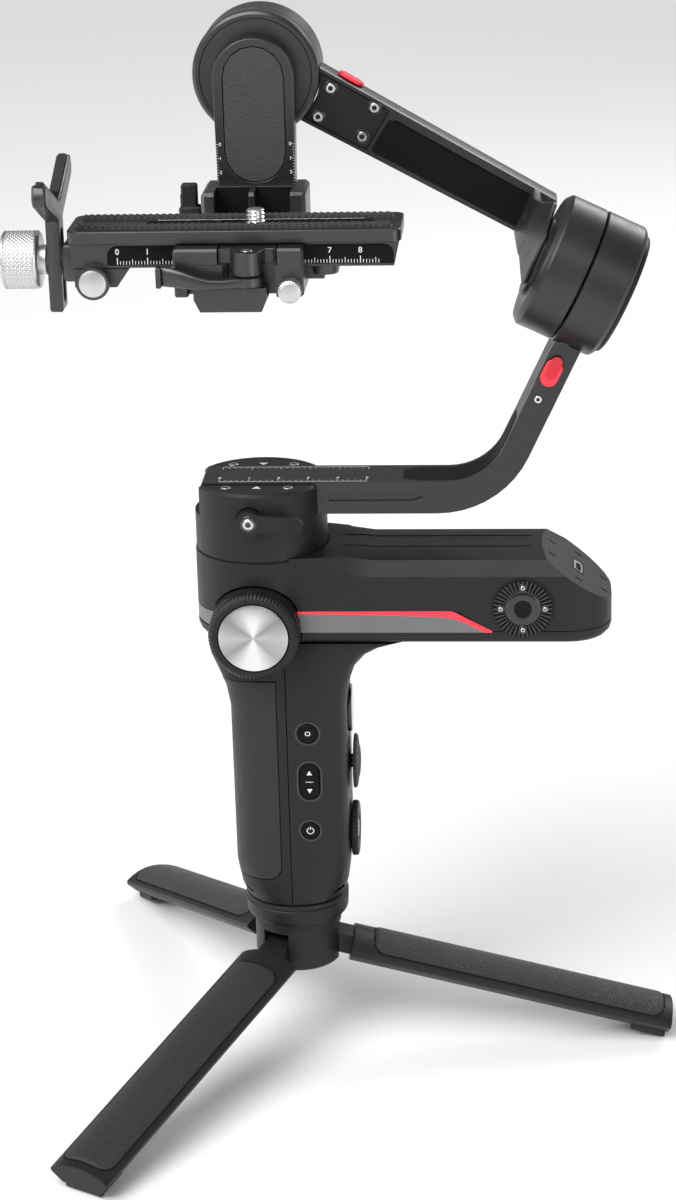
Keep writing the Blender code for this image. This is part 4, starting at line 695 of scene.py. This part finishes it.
def make_body():
    refine("body_shell", "plastic", 0.25)
    refine("bottom_cover", "plastic", 0.3)
    refine("side_band_front", "band", 0.0)
    refine("side_band_rear", "band", 0.0)
    lower = [(76.2, 161.5), (71.5, 164.1), (69.2, 165.2), (66.6, 166.2), (63.8, 166.8),
             (60.7, 167.1), (47.0, 167.6), (30.0, 168.0), (13.0, 168.3)]
    upper = [(13.0, 169.1), (40.0, 169.15), (64.0, 169.2), (65.4, 169.05), (66.6, 168.6),
             (73.0, 165.1), (78.6, 162.2), (79.0, 161.8), (78.6, 161.5)]
    face = facing(0, -20.5, 0, TO_FRONT)
    piece("stripe_front", extruded(lower + upper, -0.3, 0.09), face, "red", "handle",
          ("red_stripe",))
    piece("band_field", extruded([(13.0, 161.5)] + lower, -0.3, 0.06), face, "band", "handle")
    refine("usb_port", "steel", 0.1)
    for name, look in (("battery_cell", "cell"), ("main_board", "board"),
                       ("pan_motor_core", "copper"), ("roll_motor_core", "copper"),
                       ("tilt_motor_core", "copper")):
        materials = frame["nodes"][name].data.materials
        materials.clear()
        materials.append(LOOKS[look])
    for number, x in enumerate((38.0, 66.0, 94.0, 108.0), 1):
        for side, mark in SIDES:
            spot = (x, side * (13.5 if x < 100 else 6.0), 156.85)
            socket_screw(f"base_screw_{number}_{mark}", facing(*spot, DOWNWARD), 1.4, "handle",
                         "metal", 0.1)
    face = facing(96.5, 0, 186.7, Matrix.Rotation(radians(36.7), 4, "Y"))
    piece("port_tongue", slabs([((13.95, -2.6, -2.8), (14.85, 2.6, -0.5))]), face, "inset",
          "handle")
    lip = [((12.1, -5.2, -0.1), (12.5, 5.2, 0.12)), ((16.3, -5.2, -0.1), (16.7, 5.2, 0.12)),
           ((12.1, -5.2, -0.1), (16.7, -4.85, 0.12)), ((12.1, 4.85, -0.1), (16.7, 5.2, 0.12))]
    piece("port_lip", slabs(lip), face, "gloss", "handle")


# --- pan head and lower arm ---
def make_pan():
    refine("pan_rotor", "plastic", 0.3)
    screws("pan_screw", [(sx * 10.5, sy * 13.4, 210.9) for sx in (-1, 1) for sy in (-1, 1)],
           1.8, "pan_head", None, "satin_steel", 0.12)
    for side, mark in SIDES:
        points = [(-1.5, 14.6 * side), (1.5, 14.6 * side), (0, 12.4 * side)]
        piece(f"pan_mark_{mark}", extruded(points[::-side], 210.86, 210.97), GIMBAL, "white",
              "pan_head")
    seam = [(22.68, 0.35), (22.68, -0.35), (22.2, -0.35), (22.2, 0.35)]
    piece("pan_seam", hoop(seam, 128), facing(0, 0, 186.95), "joint_and_painted_shade", "handle")
    refine("pan_clamp_lever", "plastic", 0.35)
    front = facing(-1.9, -26.8, 202.2, TO_FRONT)
    washer = [(0, 0.2), (2.7, 0.2), (2.9, 0.0), (2.9, -0.4), (0, -0.4)]
    piece("lever_washer", lathe(washer, 48), front, "gloss", "pan_lever")
    socket_screw("lever_bolt", shifted(front, 0, 0, 0.2), 1.9, "pan_lever", "satin_steel", 0.35)
    ribs = [((x, -1.9, -0.1), (x + 0.45, 1.6, 0.22)) for x in (13.2, 14.2, 15.2, 16.2)]
    piece("lever_ribs", slabs(ribs), front, "plastic", "pan_lever")


def pad_path(lift):
    """Side view of the lower arm's top face, from the flat bar round the bend to the riser."""
    points = [(49.0 + 3.0 * k, ARM_TOP + lift) for k in range(5)]
    points += [(64.0 + (20.7 - lift) * cos(radians(a)), 232.1 + (20.7 - lift) * sin(radians(a)))
               for a in range(-88, -24, 5)]
    end = points[-1]
    points += [(end[0] + 0.428 * k, end[1] + 0.904 * k) for k in (4, 8, 11)]
    return points


def make_lower_arm():
    refine("pan_arm", "arm", 0.3)
    low, high = pad_path(-0.25), pad_path(0.22)
    count = len(high)
    sections = []
    for number, (under, over) in enumerate(zip(low, high)):
        near = min(number, count - 1 - number)
        half = 7.4 - (2.6 if near == 0 else 0.8 if near == 1 else 0.0)
        sections.append([(under[0], -half, under[1]), (over[0], -half + 0.3, over[1]),
                         (over[0], half - 0.3, over[1]), (under[0], half, under[1])])
    piece("arm_inset", skinned(sections), GIMBAL, "inset", "lower_arm", smooth=50)
    top = facing(0, 0, ARM_TOP)
    marks = []
    for side in (-1, 1):
        for k in range(0, 51, 2):
            long = 1.5 if k % 10 == 0 else 1.0 if k % 5 == 0 else 0.6
            marks.append((ARM_ZERO + k, side * (7.3 - long / 2), 0.09, long / 2))
        marks.append((ARM_ZERO + 25, side * 8.2, 25.1, 0.08))
    ticks(marks, top, "lower_arm", "arm_scale")
    numerals([(str(k), ARM_ZERO + 10 * k, -4.3) for k in range(6)], 2.1, top, "lower_arm",
             "arm_scale_digits")
    refine("roll_lock_slider", "red", 0.25)
    along = Matrix.Rotation(ROLL_SLOPE, 4, "Y") @ TO_FRONT
    # Painted shade: a flat darker red oval where the slider's finger dip is shaded.
    piece("roll_lock_painted_shade", extruded(oval(4.1, 1.9, 12), -0.05, 0.03),
          facing(99.6, -11.45, 251.0, along), "red_painted_shade", "roll_lock")
    piece("roll_lock_frame", rim_between(oval(9.0, 3.25, 14), oval(9.5, 3.7, 14), -0.3, 0.12),
          facing(99.4, -10.0, 250.6, along), "gloss", "lower_arm")
    socket_screw("riser_screw", front_frame((94.4, 240.0), -9.95), 1.35, "lower_arm", "steel",
                 0.12)


# --- roll motor and upper arm ---
def make_roll():
    stator = [(0, -0.3), (22.6, -0.3), (23.0, -0.6), (23.0, -13.2), (22.6, -13.9), (21.8, -14.6),
              (0, -14.6)]
    piece("roll_stator_turned", lathe(stator, 144), ROLL_FRAME, "arm", "lower_arm",
          ("roll_stator",), smooth=25)
    cap = [(0, -14.7), (20.6, -14.7), (20.6, -15.6), (20.2, -16.2), (19.6, -16.5), (17.4, -16.5),
           (17.0, -16.2), (0, -16.2)]
    piece("roll_cap_turned", lathe(cap, 128), ROLL_FRAME, "plastic", "lower_arm",
          ("roll_rear_cap",), smooth=25)
    for number, (x, y) in enumerate(four_round(13.6, 45), 1):
        socket_screw(f"roll_cap_screw_{number}", shifted(ROLL_FRAME, x, y, -16.2, DOWNWARD), 1.3,
                     "lower_arm", "steel", 0.15)
    rotor = [(0, 15.6), (13.2, 15.6), (13.5, 15.3), (13.5, 14.2), (20.9, 14.2), (21.4, 13.9),
             (22.7, 12.7), (23.0, 12.2), (23.0, 0.6), (22.6, 0.3), (0, 0.3)]
    piece("roll_rotor_turned", lathe(rotor, 144), ROLL_FRAME, "arm", "roll_head",
          ("roll_rotor",), smooth=22)
    refine("roll_arm", "arm", 0.35)
    refine("roll_arm_cover", "plastic", 0.15)
    spots, face_y = ((21.6, 328.5), (36.9, 321.4), (16.9, 318.5), (32.3, 311.2)), 79.7
    screws("cover_screw", [(x, face_y, z) for x, z in spots], 1.75, "upper_arm", TO_FRONT,
           "steel", 0.3)
    rim = [(1.8, 0.05), (2.35, 0.08), (2.5, 0.0), (2.5, -0.2), (1.8, -0.2)]
    for number, spot in enumerate(spots, 1):
        piece(f"cover_screw_rim_{number}", hoop(rim, 40), front_frame(spot, face_y), "gloss",
              "upper_arm")
    corners = [arm_point(run, rise) for run, rise in
               ((0.297, 0.10), (0.965, 0.10), (0.965, 0.80), (0.297, 0.80))]
    cut, bulge = 1.7, 0.28
    outline = []
    for here, spot in enumerate(corners):
        back = (corners[here - 1] - spot).normalized()
        ahead = (corners[(here + 1) % 4] - spot).normalized()
        for near, far, share in ((back, ahead, 1.0), (back, ahead, 0.45), (ahead, back, 0.45),
                                 (ahead, back, 1.0)):
            outline.append(tuple(spot + near * cut * share + far * bulge * (1 - share)))
    piece("arm_panel", extruded(outline, -80.2, -79.88), facing(0, 0, 0, TO_FRONT), "inset",
          "upper_arm")
    refine("tilt_lock_slider", "red", 0.25)
    for number, (y, z) in enumerate(((20.0, 18.4), (60.0, 19.0)), 1):
        socket_screw(f"leg_screw_{number}", shifted(ROLL_FRAME, -1.5, y, z), 1.6, "upper_arm",
                     "metal", 0.1)


# --- tilt motor, tilt arm and bracket ---
def make_tilt():
    front = front_frame(TILT, 0)
    rotor = [(0, -77.2), (19.6, -77.2), (20.0, -77.0), (21.2, -77.0), (22.1, -77.7), (22.4, -78.3),
             (22.4, -83.6), (22.1, -83.9), (0, -83.9)]
    piece("tilt_rotor_turned", lathe(rotor, 144), front, "metal", "tilt_head", ("tilt_rotor",),
          smooth=22)
    housing = [(0, -84.3), (22.1, -84.3), (22.4, -84.6), (22.4, -100.2), (21.9, -101.2),
               (20.8, -102.0), (18.6, -102.0), (18.2, -101.6), (0, -101.6)]
    piece("tilt_housing_turned", lathe(housing, 144), front, "metal", "upper_arm",
          ("tilt_housing",), smooth=22)
    screws("tilt_cap_screw", [(TILT[0] + x, 101.6, TILT[1] + z) for x, z in four_round(14, 45)],
           1.3, "upper_arm", TO_BACK, "steel", 0.15)
    refine("tilt_arm", "metal", 0.5)
    refine("tilt_arm_panel", "panel", 0.25)
    face = front_frame((TILT[0], 0), 67.98)
    digits, marks = [], []
    for side, _ in SIDES:
        for number, z in enumerate((311.3, 306.3, 301.4)):
            digits.append((str(number), side * 12.35, z))
        for k in range(21):
            long = 0.55 if k % 5 == 0 else 0.3
            marks.append((side * (13.75 - long), 311.3 - k, long, 0.06))
    numerals(digits, 1.7, face, "tilt_head", "tilt_scale_digits")
    ticks(marks, face, "tilt_head", "tilt_scale")


def make_bracket():
    refine("camera_bracket", "metal", 0.3)
    refine("plate_clamp", "metal", 0.25)
    refine("bracket_lever", "plastic", 0.3)
    side = facing(-32.0, 60, 293.6, TO_LEFT)
    ribs = [((0.9 * k - 2.2, -1.6, -1.6), (0.9 * k - 1.75, 1.6, -1.35)) for k in range(5)]
    piece("mount_lever_ribs", slabs(ribs), side, "plastic", "mount_lever")
    # Painted shade: dark sheets lining the pockets' back walls and floors.
    painted_shade_walls = []
    for low, high in ((-18.0, -6.0), (-4.0, 8.5)):
        painted_shade_walls += [((low + 0.05, 62.75, 279.6), (high - 0.05, 62.98, 297.2)),
                  ((low + 0.02, 57.0, 279.52), (high - 0.02, 62.9, 279.62))]
    piece("pocket_painted_shade", slabs(painted_shade_walls), GIMBAL, "joint_and_painted_shade", "camera_mount")
    screws("shelf_screw", [(-5.6, y, 273.5) for y in (-9.0, 9.0)], 2.2, "camera_mount", DOWNWARD,
           "satin_steel", 0.1)
    screws("ear_screw", [(x, 75.55, 285.4) for x in (-20.6, 11.6)], 1.2, "camera_mount", TO_BACK,
           "metal", 0.15)


def ring_section(x, y, z, half_y, half_z, lean=0.0, steps=12):
    """Rounded cross-section of the lever, standing across its run."""
    ring = []
    for k in range(steps):
        angle = 2 * pi * (k + 0.5) / steps
        across = half_y * (abs(cos(angle)) ** 0.6) * (1 if cos(angle) > 0 else -1)
        up = half_z * (abs(sin(angle)) ** 0.6) * (1 if sin(angle) > 0 else -1)
        ring.append((x - across * sin(lean), y + across * cos(lean), z + up))
    return ring


def make_clamp():
    px, py = CLAMP_PIVOT
    bolt_y = py - 1.2
    cheek = [(-17.2, -14.6), (-17.2, -19.9), (-11.6, -19.9)]
    cheek += [(-6.6 - 5.0 * cos(radians(a)), -16.3 - 3.6 * sin(radians(a)))
              for a in range(75, 0, -15)]
    cheek += [(-6.5, -15.9), (-6.5, -14.6)]
    piece("clamp_cheek", extruded(cheek[::-1], 283.8, 288.7), GIMBAL, "metal", "camera_mount",
          smooth=40, edge=0.15)
    jaw = arc((px, bolt_y), 5.0, 215, 325, 12)
    jaw += [(px + 5.0 + 4.2 * sin(radians(a)), py + 1.8 - 0.9 * (1 - cos(radians(a))))
            for a in range(10, 90, 20)]
    jaw += [(9.6, -19.2), (9.6, -11.9), (-9.2, -11.9), (-9.2, -19.2)]
    jaw += [(px - 5.0 - 4.2 * sin(radians(a)), py + 1.8 - 0.9 * (1 - cos(radians(a))))
            for a in range(70, 0, -20)]
    piece("clamp_jaw", extruded(jaw, 289.1, 293.9), GIMBAL, "metal", "wedge", ("clamp_wedge",),
          smooth=40, edge=0.35)
    hub = [(0, 289.4), (5.0, 289.4), (5.0, 286.5), (4.6, 286.1), (0, 286.1)]
    piece("clamp_jaw_hub", lathe(hub, 64), facing(px, bolt_y, 0), "metal", "wedge", smooth=30)
    boss = [(0, 285.7), (4.7, 285.7), (5.2, 285.2), (5.2, 282.4), (4.7, 281.9), (0, 281.9)]
    piece("quick_lever_boss", lathe(boss, 64), facing(px, py, 0), "metal", "quick_lever",
          ("clamp_lever",), smooth=30)
    run = [(2.5, -22.2, 283.8, 2.0, 1.8, 0.25), (-3.0, -23.6, 283.8, 2.0, 1.75, 0.2),
           (-7.5, -24.6, 283.5, 1.7, 1.7, 0.15), (-12.0, -25.2, 283.6, 1.5, 1.8, 0.05),
           (-16.0, -25.3, 284.3, 1.4, 2.2, 0.0), (-20.0, -25.0, 285.2, 1.35, 2.8, -0.1),
           (-24.0, -24.3, 285.9, 1.3, 3.2, -0.2), (-27.4, -23.3, 286.1, 1.2, 3.3, -0.3),
           (-29.0, -22.7, 286.0, 0.9, 2.9, -0.3)]
    piece("quick_lever_bar", skinned([ring_section(*row) for row in run]), GIMBAL, "metal",
          "quick_lever", smooth=50)
    tip = slabs([((-29.3, -25.6, 282.4), (-27.5, -21.6, 289.3))])
    piece("quick_lever_tip", tip, GIMBAL, "metal", "quick_lever", edge=0.5)
    socket_screw("wedge_bolt", facing(px, bolt_y, 293.6), 2.1, "wedge", "steel", 0.4)
    knob = [(0, 26.5), (2.9, 26.5), (3.7, 25.9), (3.85, 23.0), (3.75, 20.6), (1.5, 20.4),
            (1.5, 12.0), (0, 12.0)]
    piece("safety_knob_turned", lathe(knob, 168, flutes(28, 0.14, (2, 3, 4))),
          front_frame((14.2, 281.0), 0), "satin_steel", "safety_catch", ("safety_knob",),
          smooth=40)
    screws("clamp_screw", [(-21.5, -20.0, 291.0), (15.0, -20.0, 291.2)], 1.1, "camera_mount",
           TO_FRONT, "metal", 0.1)
    screws("clamp_base_screw", [(-20.5, 14.0, 277.95), (15.0, 14.0, 277.95)], 1.4, "camera_mount",
           DOWNWARD, "metal", 0.1)


# --- camera plate and lens support ---
def strip_spot(run, across):
    """Ribbed rubber: slanted ridges between two plain borders."""
    start, end, half = -57.6, 47.2, 2.75
    x = start + (end - start) * run
    share = 2 * across - 1
    nearest = min(x - start, end - x, 2.0)
    width = half - 2.0 + sqrt(max(0.0, 4.0 - (2.0 - nearest) ** 2))
    y = width * share
    rim = min(1.0, (1 - abs(share)) * width / 0.35, nearest / 0.35)
    ridge = min(1.0, 1.7 * zigzag((x + y * 0.75) / 2.2))
    inside = 1.0 if nearest > 1.0 else 0.0
    return (x, y, 298.45 + rim * (0.25 + inside * 0.95 * ridge))


def make_plate():
    refine("camera_plate", "metal", 0.25)
    for node, y in (("rubber_strip_near", -7.4), ("rubber_strip_far", 7.4)):
        piece("ribbed_" + node, height_field(620, 20, strip_spot), facing(0, y, 0), "rubber",
              "plate", (node,), smooth=40)
    face = facing(0, -11.5, 0, TO_FRONT)
    bay = arc((PLATE_ZERO, 290.2), 3.4, 180, 90, 8) + arc((44.2, 290.2), 3.4, 90, 0, 8)
    bay += [(47.6, 287.0), (-46.8, 287.0)]
    piece("scale_bay", extruded(bay, -0.02, 0.03), face, "inset", "plate")
    face = shifted(face, 0, 0, 0.03)
    marks = []
    for k in range(87):
        long = 2.3 if k % 10 == 0 else 1.8 if k % 5 == 0 else 1.2
        marks.append((PLATE_ZERO + k, 287.3 + long / 2, 0.10 if k % 10 else 0.14, long / 2))
    ticks(marks, face, "plate", "plate_scale")
    numerals([(str(k), PLATE_ZERO + 10 * k, 291.5) for k in range(9)], 2.7, face, "plate",
             "plate_scale_digits")
    lip = [((-31.5, side * 3.75 - 0.15, 298.5), (37.5, side * 3.75 + 0.15, 298.72))
           for side, _ in SIDES]
    piece("slot_edges", slabs(lip), GIMBAL, "steel", "plate", edge=0.05)
    pitch, cut = 1.27, 0.62
    rows = [(3.1, 302.9 - 0.12 * k) for k in range(104)]

    def thread(row, angle, height):
        threaded = 2 <= row < 2 + len(rows)
        return -cut * zigzag(height / pitch - angle / (2 * pi)) if threaded else 0.0

    screw = [(0, 303.2), (2.3, 303.2)] + rows + [(5.8, 290.2), (5.8, 286.8), (0, 286.8)]
    piece("camera_bolt_threaded", lathe(screw, 48, thread), facing(1.5, 0, 0), "steel",
          "camera_bolt", ("camera_screw",), smooth=50)


def knurl(radius, pitch, depth, low, high):
    """Diamond knurl on a cylinder between two heights."""
    count = round(2 * pi * radius / pitch)

    def ripple(row, angle, height):
        if not low < height < high:
            return 0.0
        u = angle / (2 * pi) * count
        v = height / pitch
        return -depth * (1 - min(zigzag(u + v), zigzag(u - v)))

    return ripple, count


def make_lens_support():
    refine("lens_block", "metal", 0.3)
    refine("lens_support", "metal", 0.4)
    for side, mark in SIDES:
        pad = [(-66.9, side * 4.2, 308.15), (-66.9, side * 24.2, 316.75),
               (-64.3, side * 24.2, 316.75), (-64.3, side * 4.2, 308.15)]
        lift = Vector((0, -0.42 * side, 0.95))
        low = [Vector(spot) - lift * 0.2 for spot in pad]
        high = [Vector(spot) + lift for spot in pad]
        piece(f"yoke_pad_{mark}", skinned([low, high]), GIMBAL, "rubber", "lens_yoke", edge=0.35)
    left = facing(0, 0, 286.6, TO_LEFT)
    ripple, count = knurl(9.8, 1.4, 0.55, 72.0, 82.2)
    rows = [(9.8, 82.2 - 0.2 * k) for k in range(52)]
    knob = ([(0, 82.5), (7.6, 82.5), (8.0, 83.2), (9.1, 83.2), (9.7, 82.6)] + rows
            + [(9.7, 71.4), (9.1, 70.8), (5.0, 70.8), (5.0, 68.6), (2.3, 68.4), (2.3, 59.6),
               (0, 59.6)])
    piece("lens_knob_knurled", lathe(knob, count * 7, ripple), left, "satin_steel", "lens_wheel",
          ("lens_knob",), smooth=60)
    socket_screw("lens_knob_bolt", shifted(left, 0, 0, 82.5), 2.6, "lens_wheel", "steel", 0.2)

    front = front_frame((-51.5, 281.8), 0)
    thumb = [(0, 15.9), (3.9, 15.9), (4.4, 15.7), (4.5, 15.2), (4.9, 15.2), (5.2, 15.0),
             (5.4, 14.7), (5.4, 12.3), (5.2, 11.95), (1.4, 11.9), (1.4, 6.0), (0, 6.0)]
    collar = [(4.6, 15.3), (5.4, 15.2), (5.6, 14.9), (5.6, 13.4), (4.6, 13.4)]
    piece("thumb_screw_collar", hoop(collar, 96), front, "metal", "side_bolt", smooth=40)
    piece("thumb_screw_turned", lathe(thumb, 240, flutes(40, 0.16, (5, 6, 7), 0.1)), front,
          "satin_steel", "side_bolt", ("thumb_screw",), smooth=40)
    slot = slabs([((-2.9, -0.2, 15.7), (2.9, 0.2, 15.94))])
    piece("thumb_slot", slot, front @ Matrix.Rotation(radians(-58), 4, "Z"), "satin_steel",
          "side_bolt")


# --- stage, light and camera ---
def make_stage():
    material, tree, shader = new_tree("pale_floor")
    where = add_node(tree, "ShaderNodeTexCoord").outputs["Object"]
    broad = noise(tree, where, 3.0, 3.0)
    link(tree, blend_colour(tree, broad, (0.80, 0.80, 0.80), (0.84, 0.84, 0.84)),
         shader.inputs["Base Color"])
    shader.inputs["Roughness"].default_value = 0.7
    bpy.ops.mesh.primitive_plane_add(size=60, location=(0, 0, -0.0002))
    floor_plane = bpy.context.object
    floor_plane.name = "floor"
    floor_plane.data.materials.append(material)
    world = bpy.data.worlds.new("studio")
    bpy.context.scene.world = world
    world.use_nodes = True
    background = world.node_tree.nodes["Background"]
    background.inputs["Color"].default_value = (0.95, 0.96, 0.98, 1.0)
    background.inputs["Strength"].default_value = 0.26


def soft_light(name, spot, aim_height, size, power):
    light = bpy.data.lights.new(name, "AREA")
    light.shape = "RECTANGLE"
    light.size, light.size_y = size
    light.energy = power
    lamp = add_object(name, light)
    lamp.location = spot
    aim = Vector((0, 0, aim_height)) - Vector(spot)
    lamp.rotation_euler = aim.to_track_quat("-Z", "Y").to_euler()


def make_lights():
    sun = bpy.data.lights.new("daylight", "SUN")
    sun.energy = 2.45
    sun.angle = radians(50)
    lamp = add_object("daylight", sun)
    lamp.rotation_euler = (radians(28), radians(-22), 0)
    soft_light("key", (-0.85, -1.0, 1.15), 0.18, (0.8, 0.8), 10.5)
    soft_light("front_right", (1.0, -1.15, 0.55), 0.2, (0.4, 1.1), 7.0)
    soft_light("rim", (0.8, 1.1, 1.0), 0.2, (1.0, 0.5), 9.0)
    soft_light("side", (-1.3, 0.3, 0.6), 0.2, (0.4, 1.2), 5.0)


def make_camera():
    yaw, rise, roll = radians(4.286), radians(19.823), radians(1.520)
    aim, distance = at(25.419, 0, 165.865), 1.000974
    back = Vector((sin(yaw) * cos(rise), -cos(yaw) * cos(rise), sin(rise)))
    side = Vector((cos(yaw), sin(yaw), 0))
    up = back.cross(side)
    right = side * cos(roll) - up * sin(roll)
    top = side * sin(roll) + up * cos(roll)
    place = Matrix((right, top, back)).transposed().to_4x4()
    place.translation = aim + back * distance
    camera = bpy.data.cameras.new("camera")
    camera.sensor_fit = "VERTICAL"
    camera.sensor_height = 36.0
    camera.lens = 87.046
    camera.clip_start = 0.01
    holder = add_object("camera", camera)
    holder.matrix_world = place
    bpy.context.scene.camera = holder


bpy.context.scene.view_settings.view_transform = "Standard"
make_camera()
make_tripod()
make_grip()
make_dial()
make_gear()
make_body()
make_pan()
make_lower_arm()
make_roll()
make_tilt()
make_bracket()
make_clamp()
make_plate()
make_lens_support()
make_stage()
make_lights()
